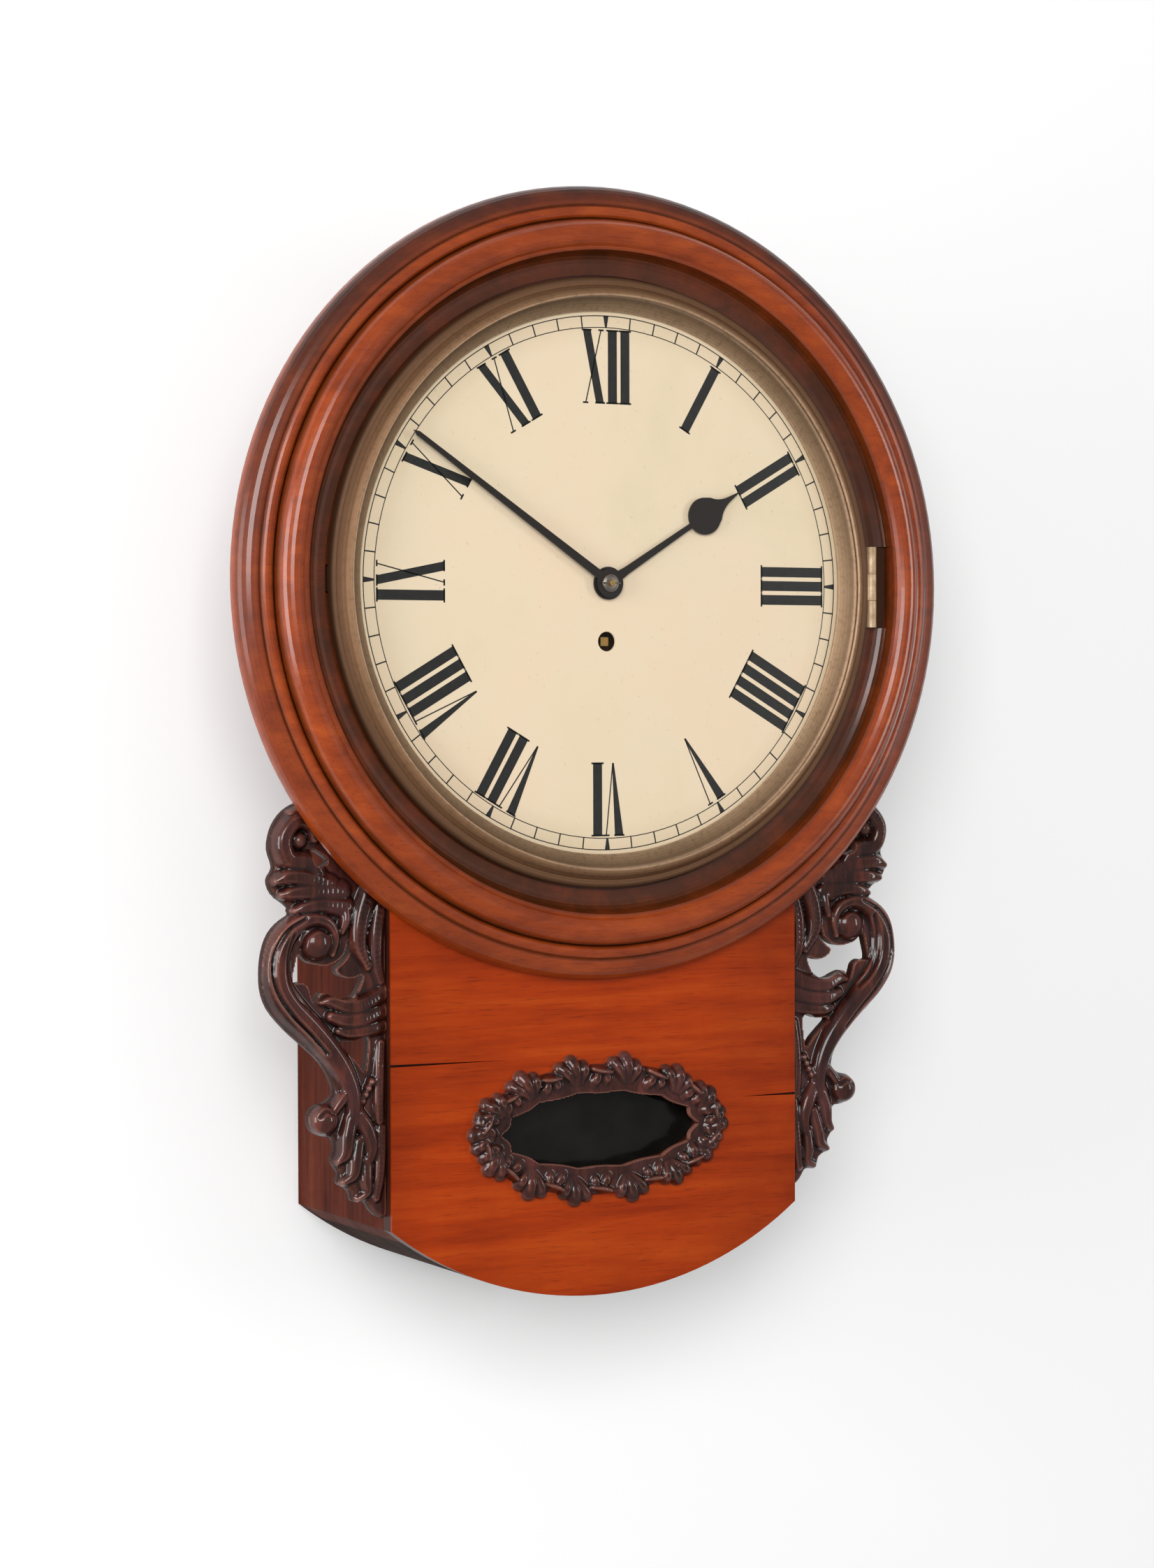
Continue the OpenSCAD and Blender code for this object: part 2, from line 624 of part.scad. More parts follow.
// Hinge at three o'clock, its fixed leaf let into the surround
hinge_pin_r = 1.2;
bezel_knuckle_r = 2.9;
module upright(r, z0, z1) translate([hinge_x, -hinge_d, z0]) cylinder(r = r, h = z1 - z0);
module bezel_hinge() color(brass) {
    difference() {
        union() {
            board([hinge_x, -dial_d - 1.2, -21], [hinge_x + 9, -dial_d + 0.1, 21]);
            for (z = [-21, 7.1]) upright(bezel_knuckle_r, z, z + 13.9);
        }
        upright(bezel_knuckle_r + 0.3, -7.1, 7.1);
    }
    upright(hinge_pin_r, -21, 21);
}
module bezel_knuckle() color(brass) {
    difference() {
        union() {
            upright(bezel_knuckle_r, -6.9, 6.9);
            board([hinge_x - 3.3, -131.2, -6.9], [hinge_x, -129.2, 6.9]);
        }
        upright(hinge_pin_r + fit, -8, 8);
    }
}

// Spring tongue that holds the bezel shut at nine o'clock
module bezel_catch() color(brass) {
    board([-152.6, -dial_d - 0.4, -6], [-151.6, -120.5, 6]);
    board([-151.6, -122, -5], [-150.8, -120.5, 5]);
}

// Hands

hour_hand_l = 90;
spade_d = 66;
module hour_hand() color(blued) {
    slab(127.9, 128.8) rotate(90 - hour_angle) difference() {
        union() {
            circle(8.3);
            polygon(concat(
                [[0, -3.2], [12, -2], [spade_d - 9, -1.3]], arc(spade_d, 0, 9.5, 9.5, 188, 305, 10),
                arc(spade_d + 20, -11.6, 14, 10.6, 150, 98, 5), [[hour_hand_l, -0.2], [hour_hand_l, 0.2]],
                arc(spade_d + 20, 11.6, 14, 10.6, 262, 210, 5), arc(spade_d, 0, 9.5, 9.5, 55, 172, 10),
                [[spade_d - 9, 1.3], [12, 2], [0, 3.2]]
            ));
        }
        circle(4.7 + fit);
    }
}
minute_hand_l = 131;
module minute_hand() color(blued) {
    slab(129.8, 130.9) rotate(90 - minute_angle) difference() {
        union() {
            circle(7.2);
            polygon([[-4, -2.4], [10, -2.2], [minute_hand_l - 3, -1.2], [minute_hand_l, 0], [minute_hand_l - 3, 1.2], [10, 2.2], [-4, 2.4]]);
        }
        square(3.7, center = true);
    }
}
module hand_collet() color(brass) {
    difference() {
        turned(0, 0, [[1.5 + fit, 130.95], [4.6, 130.95], [4.4, 131.4], [3, 131.9], [1.5 + fit, 132]]);
        translate([-6, -132.3, 0]) rotate([0, 90, 0]) cylinder(r = 0.5, h = 12);
    }
    translate([-5, -132.3, 0]) rotate([0, 90, 0]) cylinder(r1 = 0.5 - fit, r2 = 0.35, h = 10);
}

// Movement

module plate_blank(from, to) {
    slab(from, to) difference() {
        translate([plate_l, plate_b]) square([plate_r - plate_l, plate_top - plate_b]);
        for (p = pillar_at) translate(p) circle(3);
    }
}
pillar_at = [[-73, -77], [39, -77], [-73, 61], [39, 61]];
module front_plate() color(brass) {
    difference() {
        plate_blank(front_d, front_d + front_t);
        rod(0, 0, 1.9 + fit, front_d - 1, front_d + front_t + 1);
        rod(0, -winding_drop, 3 + fit, front_d - 1, front_d + front_t + 1);
        rod(barrel_x, barrel_z, 3 + fit, front_d - 1, front_d + front_t + 1);
        rod(third_x, third_z, 0.8 + fit, front_d - 1, front_d + front_t + 1);
        rod(0, escape_z, 0.8 + fit, front_d - 1, front_d + front_t + 1);
        rod(0, pallet_z, 0.8 + fit, front_d - 1, front_d + front_t + 1);
        for (p = foot_at) rod(p[0], p[1], 2.25, front_d - 1, front_d + front_t + 1);
        rod(minute_x, minute_z, 1.4, front_d - 1, front_d + front_t + 1);
    }
}
module back_plate() color(brass) {
    difference() {
        plate_blank(back_d, back_d + back_t);
        rod(0, 0, 1.2 + fit, back_d - 1, back_d + back_t + 1);
        rod(0, -winding_drop, 2 + fit, back_d - 1, back_d + back_t + 1);
        rod(barrel_x, barrel_z, 2 + fit, back_d - 1, back_d + back_t + 1);
        rod(third_x, third_z, 0.8 + fit, back_d - 1, back_d + back_t + 1);
        rod(0, escape_z, 0.8 + fit, back_d - 1, back_d + back_t + 1);
        rod(0, pallet_z, 4, back_d - 1, back_d + back_t + 1);
        for (x = [-cock_half + 3, cock_half - 3]) rod(x, pallet_z, 1.5, back_d - 1, back_d + back_t + 1);
    }
}
// Turned pillars with a knop, riveted at the back and pinned in front of the front plate
module pillars() color(brass) for (p = pillar_at) {
    mid = (gap_back + front_d) / 2;
    difference() {
        turned(p[0], p[1], concat(
            [[0, back_d], [3, back_d], [3, gap_back], [5.5, gap_back], [5.5, gap_back + 3], [3.4, gap_back + 5], [3.4, mid - 5]],
            arc(3.4, mid, 2.4, 4, -70, 70, 6),
            [[3.4, mid + 5], [3.4, front_d - 5], [5.5, front_d - 3], [5.5, front_d], [3, front_d],
                [3, front_d + front_t + 5], [0, front_d + front_t + 6]]
        ));
        translate([p[0] - 6, -(front_d + front_t + 1.1), p[1]]) rotate([0, 90, 0]) cylinder(r = 0.9, h = 12);
    }
    translate([p[0] - 7, -(front_d + front_t + 1.1), p[1]]) rotate([0, 90, 0]) cylinder(r1 = 0.9, r2 = 0.6, h = 14);
}

// Mainspring barrel with its lips and cap
barrel_back = 71;
barrel_front = 101;
module barrel() color(brass) {
    turned(barrel_x, barrel_z, [
        [3 + fit, barrel_back], [barrel_r + 0.8, barrel_back], [barrel_r + 0.8, barrel_back + 1], [barrel_r, barrel_back + 1],
        [barrel_r, barrel_front - 1], [barrel_r + 0.8, barrel_front - 1], [barrel_r + 0.8, barrel_front],
        [3 + fit, barrel_front], [3 + fit, barrel_front - 1.6], [barrel_r - 1.6, barrel_front - 1.6],
        [barrel_r - 1.6, barrel_back + 1.6], [3 + fit, barrel_back + 1.6]
    ]);
}
chain_w = 1.3;
chain_h = 0.9;
chain_pitch = 1.7;
chain_turns = 5;
module barrel_chain() color(steel) for (i = [0 : chain_turns]) {
    d = barrel_back + 1.6 + i * chain_pitch;
    turned(barrel_x, barrel_z, [[barrel_r, d], [barrel_r + chain_h, d], [barrel_r + chain_h, d + chain_w], [barrel_r, d + chain_w]]);
}
module barrel_arbor() color(steel) {
    turned(barrel_x, barrel_z, [
        [0, back_d], [2, back_d], [2, gap_back + 1], [3, gap_back + 2], [3, 78], [5.2, 78], [5.2, 94],
        [3, 94], [3, front_d + front_t + 0.4], [0, front_d + front_t + 0.4]
    ]);
    slab(front_d + front_t, front_d + front_t + 9) translate([barrel_x, barrel_z]) square(4, center = true);
}
// Spiral of spring steel, closer wound towards the barrel's wall
spring_turns = 7;
spring_steps = spring_turns * 18;
function coil_r(i) = 6.5 + 15 * pow(i / spring_steps, 0.72);
module mainspring() color(steel) {
    slab(74.5, 97.5) translate([barrel_x, barrel_z]) polygon(concat(
        [for (i = [0 : spring_steps]) polar(coil_r(i), i * 20)],
        [for (i = [spring_steps : -1 : 0]) polar(coil_r(i) + 0.6, i * 20)]
    ));
}
// Ratchet wheel on the barrel arbor's square, with its click and click screw
setup_n = 20;
setup_r = 9;
module setup_work() color(steel) {
    d = front_d + front_t + 0.5;
    click = [barrel_x + 3, barrel_z + 17];
    slab(d, d + 2) {
        difference() {
            translate([barrel_x, barrel_z]) polygon([for (i = [0 : setup_n - 1]) each
                [polar(setup_r, 360 * i / setup_n), polar(setup_r - 1.6, 360 * i / setup_n + 3)]]);
            translate([barrel_x, barrel_z]) square(4.05, center = true);
        }
        translate(click) circle(3);
        translate(click) rotate(-112) polygon([[0, 2.6], [9.2, 1.5], [8.2, -0.4], [0, -2.6]]);
    }
    rod(click[0], click[1], 1.6, front_d + front_t, d + 0.1);
    rod(click[0], click[1], 2.4, d + 1.9, d + 3.2);
}

// Fusee: a grooved cone whose radius falls off so that its pull stays even
fusee_back = 71.6;
fusee_front = 97;
fusee_turns = 11;
groove_pitch = (fusee_front - fusee_back - 2) / fusee_turns;
function fusee_at(d) = 20 / (1 + 1.25 * (d - fusee_back) / (fusee_front - fusee_back));
chain_groove = 5;
module fusee() color(brass) {
    turned(0, -winding_drop, concat(
        [[0, back_d], [2, back_d], [2, gap_back + 0.3], [3, gap_back + 0.3], [3, fusee_back], [21, fusee_back], [21, fusee_back + 1]],
        [for (i = [0 : fusee_turns - 1]) let (d = fusee_back + 1 + i * groove_pitch) each
            [[fusee_at(d) - 0.7, d + 0.1], [fusee_at(d) - 0.7, d + groove_pitch - 0.5],
                [fusee_at(d), d + groove_pitch - 0.45], [fusee_at(d), d + groove_pitch - 0.05]]],
        [[fusee_at(fusee_front), fusee_front], [3.6, fusee_front], [3.6, front_d - 0.3],
            [3, front_d - 0.3], [3, front_d + front_t + 0.4], [0, front_d + front_t + 0.4]]
    ));
    // Snail whose nose meets the stop iron when the clock is wound
    slab(fusee_front, fusee_front + 1.4) translate([0, -winding_drop]) {
        circle(9);
        polygon([polar(9, 250), polar(12.5, 262), polar(12.5, 270), polar(8.8, 276)]);
    }
    slab(front_d + front_t, 124) translate([0, -winding_drop]) square(4.4, center = true);
}
great_back = 68.3;
great_t = 3;
module great_wheel() color(brass) {
    slab(great_back, great_back + great_t) translate([0, -winding_drop]) difference() {
        crossed(96, mod_great, wheel_tooth, 90, 23, 18, 4, 4);
        circle(3 + fit);
    }
}

// Straight run of the chain, tangent to the fusee's groove and the barrel
groove_d = fusee_back + 1 + chain_groove * groove_pitch;
groove_r = fusee_at(groove_d) - 0.7;
module fusee_chain() color(steel) {
    span = sqrt(pow(barrel_x, 2) + pow(barrel_z + winding_drop, 2));
    lie = atan2(barrel_z + winding_drop, barrel_x);
    r_f = groove_r + 0.15;
    r_b = barrel_r + 0.15;
    normal = lie - acos((r_f - r_b) / span);
    t_f = polar(r_f, normal) + [0, -winding_drop];
    run = sqrt(span * span - pow(r_b - r_f, 2));
    slab(groove_d + 0.25, groove_d + 0.25 + chain_w) translate(t_f) rotate(normal + 90) translate([0, -chain_h * 0.6])
        square([run, chain_h * 0.6]);
}
module stop_iron() color(steel) {
    slab(front_d - 6.4, front_d - 4.2) polygon([[-30, -31], [-15, -29.5], [-15, -26.5], [-30, -27]]);
    slab(front_d - 6.4, front_d) translate([-30, -29]) circle(3.2);
}

// Arbor with two pivots, waisted where the pinion's leaves are cut into it
module arbor(x, z, r, pivot, back, front, pinion_n, pinion_m, pinion_a, pinion_back, pinion_front) {
    waist = pinion_m * (pinion_n / 2 - 1.9);
    turned(x, z, [[0, back], [pivot, back], [pivot, gap_back + 0.3], [r, gap_back + 0.3], [r, pinion_back],
        [waist, pinion_back], [waist, pinion_front], [r, pinion_front], [r, front_d - 0.3],
        [pivot, front_d - 0.3], [pivot, front], [0, front]]);
    slab(pinion_back, pinion_front) translate([x, z]) polygon(toothed(pinion_n, pinion_m, leaf_tooth, pinion_a));
}
centre_pinion_a = mesh(90, 90, 96, 8);
centre_phi = atan2(third_z, third_x);
third_pinion_a = mesh(centre_phi, 0, 80, 8);
third_phi = atan2(escape_z - third_z, -third_x);
escape_pinion_a = mesh(third_phi, 0, 78, 8);
centre_back = 101;
module centre_wheel() color(brass) {
    arbor(0, 0, 1.9, 1.2, back_d, front_d, 8, mod_great, centre_pinion_a, 66.3, 73.5);
    rod(0, 0, 1.9, front_d - 0.4, front_d + front_t + 0.2);
    difference() {
        rod(0, 0, 1.5, front_d + front_t, 133);
        translate([-3, -132.3, 0]) rotate([0, 90, 0]) cylinder(r = 0.5, h = 6);
    }
    rod(0, 0, 4, centre_back - 2, centre_back + 0.1);
    slab(centre_back, centre_back + 1.6) crossed(80, mod_centre, wheel_tooth, 0, 17, 5, 4, 3);
}
third_back = 89;
module third_wheel() color(brass) {
    arbor(third_x, third_z, 1.4, 0.8, back_d, front_d + front_t, 8, mod_centre, third_pinion_a, centre_back - 1.5, centre_back + 3.5);
    rod(third_x, third_z, 3, third_back - 1.5, third_back + 0.1);
    slab(third_back, third_back + 1.5) translate([third_x, third_z]) crossed(78, mod_third, wheel_tooth, 0, 15.2, 4, 4, 2.4);
}
escape_back = 77;
escape_n = 32;
module escape_wheel() color(brass) {
    arbor(0, escape_z, 1.2, 0.8, back_d, front_d + front_t, 8, mod_third, escape_pinion_a, third_back - 2, third_back + 3.5);
    rod(0, escape_z, 2.6, escape_back - 1.5, escape_back + 0.1);
    slab(escape_back, escape_back + 1.4) translate([0, escape_z]) difference() {
        polygon([for (i = [0 : escape_n - 1]) let (a = 90 - 360 * i / escape_n) each
            [polar(escape_r, a), polar(escape_r, a - 0.5), polar(escape_r - 1, a - 0.9), polar(escape_r - 2.6, a - 0.2), polar(escape_r - 2.6, a - 8)]]);
        difference() {
            circle(10.6);
            circle(3.4);
            for (i = [0 : 3]) rotate(i * 90 + 45) translate([0, -1]) square([12, 2]);
        }
    }
}

// Recoil pallets: two nibs that reach in along the escape wheel's radii
nib_angle = 360 / escape_n * 3.75;
nib_gap = 0.12;
module pallets() color(steel) {
    slab(escape_back - 0.8, escape_back + 2.2) {
        for (s = [-1, 1]) translate([0, escape_z]) rotate(90 + s * nib_angle)
            polygon([[escape_r + nib_gap, s * 0.42], [escape_r + nib_gap + 0.25, -s * 0.42], [escape_r + 6, -s * 0.8], [escape_r + 6.6, s * 1.2], [escape_r + 4, s * 0.8]]);
        for (s = [-1, 1]) polygon([[0, pallet_z + 2.6], [s * 14.8, escape_z + 17.2], [s * 14.9, escape_z + 14.2], [s * 12.6, escape_z + 13.9], [0, pallet_z - 2.4]]);
        translate([0, pallet_z]) circle(3.6);
    }
    turned(0, pallet_z, [[0, cock_d], [0.8, cock_d], [0.8, cock_d + 3.3], [1.4, cock_d + 3.3], [1.4, front_d - 0.3],
        [0.8, front_d - 0.3], [0.8, front_d + front_t], [0, front_d + front_t]]);
}
// Crutch: hub on the pallet arbor, a wire down the back, and a fork round the pendulum rod
cock_d = 51;
crutch_d = 56;
crutch_low = -12;
module crutch() color(steel) {
    difference() {
        union() {
            rod(0, pallet_z, 4, crutch_d - 0.5, crutch_d + 3);
            slab(crutch_d, crutch_d + 2) translate([-1.2, crutch_low]) square([2.4, pallet_z - crutch_low]);
            slab(rod_d - 5, crutch_d + 2) translate([-4.4, crutch_low - 1.2]) square([8.8, 2.4]);
        }
        rod(0, pallet_z, 1.4, crutch_d - 2, crutch_d + 4);
        board([-2.1, -rod_d - 7, crutch_low - 3], [2.1, -rod_d + 7, crutch_low + 3]);
    }
}
// Back cock: a bridge for the pallet arbor with the suspension post behind it
cock_half = 20;
module back_cock() color(brass) {
    difference() {
        union() {
            board([-cock_half, -cock_d - 3, pallet_z - 6], [cock_half, -cock_d, pallet_z + 11]);
            for (s = [-1, 1]) board([s * (cock_half - 3) - 3, -back_d, pallet_z - 6], [s * (cock_half - 3) + 3, -cock_d, pallet_z + 6]);
            board([-6, -cock_d - 0.1, pallet_z + 3], [6, -rod_d + 6, pallet_z + 11]);
        }
        rod(0, pallet_z, 0.8 + fit, cock_d - 1, cock_d + 4);
        board([-0.9, -rod_d - 6, pallet_z + 2], [0.9, -rod_d + 7, pallet_z + 12]);
        for (x = [-cock_half + 3, cock_half - 3]) rod(x, pallet_z, 1.5, cock_d - 1, back_d + 1);
    }
    for (x = [-cock_half + 3, cock_half - 3]) {
        rod(x, pallet_z, 1.45, cock_d - 0.1, back_d + back_t);
        rod(x, pallet_z, 2.8, cock_d - 1.4, cock_d);
    }
}
module suspension_spring() color(steel) {
    board([-0.15, -rod_d - 3, pallet_z - 14], [0.15, -rod_d + 3, pallet_z + 11]);
    board([-3, -rod_d - 3.5, pallet_z + 11.4], [3, -rod_d + 3.5, pallet_z + 15]);
    board([-0.15, -rod_d - 1, pallet_z + 10.9], [0.15, -rod_d + 1, pallet_z + 11.5]);
}
bob_z = pallet_z - pendulum_l;
bob_t = 22;
rod_low = bob_z - bob_r - 14;
module pendulum_rod() color(steel) {
    difference() {
        board([-2.4, -rod_d - 3.4, pallet_z - 24], [2.4, -rod_d + 3.4, pallet_z - 11]);
        board([-0.15, -rod_d - 3, pallet_z - 14], [0.15, -rod_d + 3, pallet_z - 10]);
    }
    translate([0, -rod_d, rod_low]) cylinder(r = 1.8, h = pallet_z - 23 - rod_low);
}
module pendulum_bob() color(brass) {
    rim = 1.6;
    bulge = (bob_r * bob_r + pow(bob_t / 2 - rim / 2, 2)) / (bob_t - rim);
    difference() {
        turned(0, bob_z, concat(
            [[0, rod_d - bob_t / 2]],
            [for (i = [1 : 8]) let (r = bob_r * i / 8) [r, rod_d - bob_t / 2 + bulge - sqrt(bulge * bulge - r * r)]],
            [for (i = [8 : -1 : 1]) let (r = bob_r * i / 8) [r, rod_d + bob_t / 2 - bulge + sqrt(bulge * bulge - r * r)]],
            [[0, rod_d + bob_t / 2]]
        ));
        translate([0, -rod_d, bob_z - bob_r - 1]) cylinder(r = 1.85, h = 2 * bob_r + 2);
    }
}
module rating_nut() color(brass) {
    translate([0, -rod_d, bob_z - bob_r - 6.2]) difference() {
        rotate_extrude() polygon([[1.8 + fit, 0], [4.5, 0], [6.5, 1], [6.5, 4.5], [4, 6], [1.8 + fit, 6]]);
        for (i = [0 : 15]) rotate(i * 22.5) translate([6.6, 0, -1]) cylinder(r = 0.5, h = 8);
    }
}

// Motion work in front of the front plate
minute_a = mesh(minute_dir, 0, 28, 56);
hour_a = mesh(minute_dir + 180, 0, 12, 72);
motion_back = 111.6;
motion_t = 1.5;
hour_back = 115.8;
module cannon_pinion() color(brass) {
    slab(motion_back, motion_back + motion_t) difference() {
        polygon(toothed(28, mod_motion, even_tooth, 0));
        circle(1.5 + fit);
    }
    turned(0, 0, [[1.5 + fit, motion_back - 0.8], [2.6, motion_back - 0.8], [2.6, 129.8], [1.5 + fit, 129.8]]);
    slab(129.7, 130.9) difference() {
        rotate(90 - minute_angle) square(3.6, center = true);
        circle(1.5 + fit);
    }
}
module minute_wheel() color(brass) {
    slab(motion_back, motion_back + motion_t) translate([minute_x, minute_z]) difference() {
        crossed(56, mod_motion, even_tooth, minute_a, 11, 5, 4, 2.4);
        circle(1.4 + fit);
    }
    slab(motion_back + motion_t, hour_back + 2.2) translate([minute_x, minute_z]) difference() {
        polygon(toothed(12, mod_motion, leaf_tooth, 0));
        circle(1.4 + fit);
    }
}
module hour_wheel() color(brass) {
    slab(hour_back, hour_back + 1.5) difference() {
        polygon(toothed(72, mod_motion, wheel_tooth, hour_a));
        circle(4);
    }
    turned(0, 0, [[3.9 + fit, hour_back], [4.7, hour_back], [4.7, 128.8], [3.9 + fit, 128.8]]);
}
module motion_stud() {
    face_d = front_d + front_t;
    turned(minute_x, minute_z, [[0, front_d], [1.4 - fit, front_d], [1.4 - fit, face_d], [2.4, face_d],
        [2.4, motion_back - 0.2], [1.4, motion_back - 0.2], [1.4, hour_back + 2.4], [2.2, hour_back + 2.4],
        [2.2, hour_back + 3.4], [0, hour_back + 3.4]]);
}
// Bridge over the cannon pinion, whose tube carries the hour wheel's pipe
bridge_dir = minute_dir - 90;
bridge_half = 24;
bridge_d = 113.7;
module motion_bridge() color(brass) {
    motion_stud();
    slab(bridge_d, bridge_d + 1.4) rotate(bridge_dir) difference() {
        union() {
            square([2 * bridge_half, 7], center = true);
            for (s = [-1, 1]) translate([s * bridge_half, 0]) circle(3.6);
        }
        circle(3.3);
    }
    for (s = [-1, 1]) let (p = polar(s * bridge_half, bridge_dir)) {
        rod(p[0], p[1], 3.3, front_d + front_t, bridge_d + 0.4);
        rod(p[0], p[1], 2.4, bridge_d + 1, bridge_d + 2.3);
    }
    turned(0, 0, [[2.75, bridge_d + 0.7], [3.9, bridge_d + 0.7], [3.9, 122], [2.75, 122]]);
}

back_board();
side_left();
side_right();
top_board();
bottom_board();
front_panel();
window_wreath();
window_glass();
bracket_left();
bracket_right();
dial_surround();
surround_cheeks();
case_pegs();
hanging_plate();
plate_screws();
door_hinges();
side_door();
side_door_leaves();
side_door_button();
bottom_door();
bottom_door_leaf();
bottom_door_button();
bezel_ring();
sight_ring();
bezel_glass();
bezel_hinge();
bezel_knuckle();
bezel_catch();
dial_plate();
dial_screws();
dial_feet();
hour_hand();
minute_hand();
hand_collet();
front_plate();
back_plate();
pillars();
barrel();
barrel_arbor();
barrel_chain();
mainspring();
setup_work();
fusee();
great_wheel();
fusee_chain();
stop_iron();
centre_wheel();
third_wheel();
escape_wheel();
pallets();
crutch();
back_cock();
suspension_spring();
pendulum_rod();
pendulum_bob();
rating_nut();
motion_bridge();
cannon_pinion();
minute_wheel();
hour_wheel();
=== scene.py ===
"""Drop dial wall clock: finishes, painted dial, carvings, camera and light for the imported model."""
import json
import math

import bpy
import numpy as np
from mathutils import Matrix, Vector


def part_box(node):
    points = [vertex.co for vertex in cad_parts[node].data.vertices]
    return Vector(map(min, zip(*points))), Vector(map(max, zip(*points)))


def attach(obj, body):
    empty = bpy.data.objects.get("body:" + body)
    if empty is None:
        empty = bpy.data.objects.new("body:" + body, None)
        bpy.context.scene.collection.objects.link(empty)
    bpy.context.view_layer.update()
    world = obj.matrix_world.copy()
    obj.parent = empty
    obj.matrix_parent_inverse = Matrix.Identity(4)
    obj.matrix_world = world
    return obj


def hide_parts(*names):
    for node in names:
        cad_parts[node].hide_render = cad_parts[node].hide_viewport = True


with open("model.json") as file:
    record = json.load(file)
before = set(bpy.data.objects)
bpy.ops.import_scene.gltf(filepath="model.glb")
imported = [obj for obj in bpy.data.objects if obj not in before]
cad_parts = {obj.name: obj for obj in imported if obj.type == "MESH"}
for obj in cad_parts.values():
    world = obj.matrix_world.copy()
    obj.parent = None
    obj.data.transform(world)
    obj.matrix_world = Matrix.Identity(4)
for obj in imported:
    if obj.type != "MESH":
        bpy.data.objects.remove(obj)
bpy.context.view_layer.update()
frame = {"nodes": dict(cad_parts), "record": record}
scene = bpy.context.scene
MM = 0.001

# Camera

YAW, PITCH, ROLL = math.radians(27.71), math.radians(1.18), math.radians(-0.18)
EYE = (-0.8329, -1.6795, -0.0648)
LENS, SENSOR = 80.21, 36


def make_camera():
    """A camera that stands where the photograph was taken from."""
    level = math.cos(PITCH)
    forward = Vector((math.sin(YAW) * level, math.cos(YAW) * level, -math.sin(PITCH)))
    right = Vector((math.cos(YAW), -math.sin(YAW), 0))
    up = right.cross(forward)
    side = right * math.cos(ROLL) + up * math.sin(ROLL)
    top = up * math.cos(ROLL) - right * math.sin(ROLL)
    data = bpy.data.cameras.new("camera")
    data.sensor_width = SENSOR
    data.lens = LENS
    data.clip_start, data.clip_end = 0.05, 50
    cam = bpy.data.objects.new("camera", data)
    scene.collection.objects.link(cam)
    turn = Matrix((side, top, -forward)).transposed()
    cam.matrix_world = Matrix.Translation(EYE) @ turn.to_4x4()
    scene.camera = cam


make_camera()
scene.view_settings.view_transform = "Standard"

# Shader helpers


def srgb(r, g, b):
    """A colour given as 0..255 screen values, as linear RGBA."""
    screen = [v / 255 for v in (r, g, b)]
    return (*[v / 12.92 if v <= 0.04045 else ((v + 0.055) / 1.055) ** 2.4 for v in screen], 1.0)


def darker(colour, share):
    """A linear RGBA colour times a share, still opaque."""
    return (*[v * share for v in colour[:3]], 1)


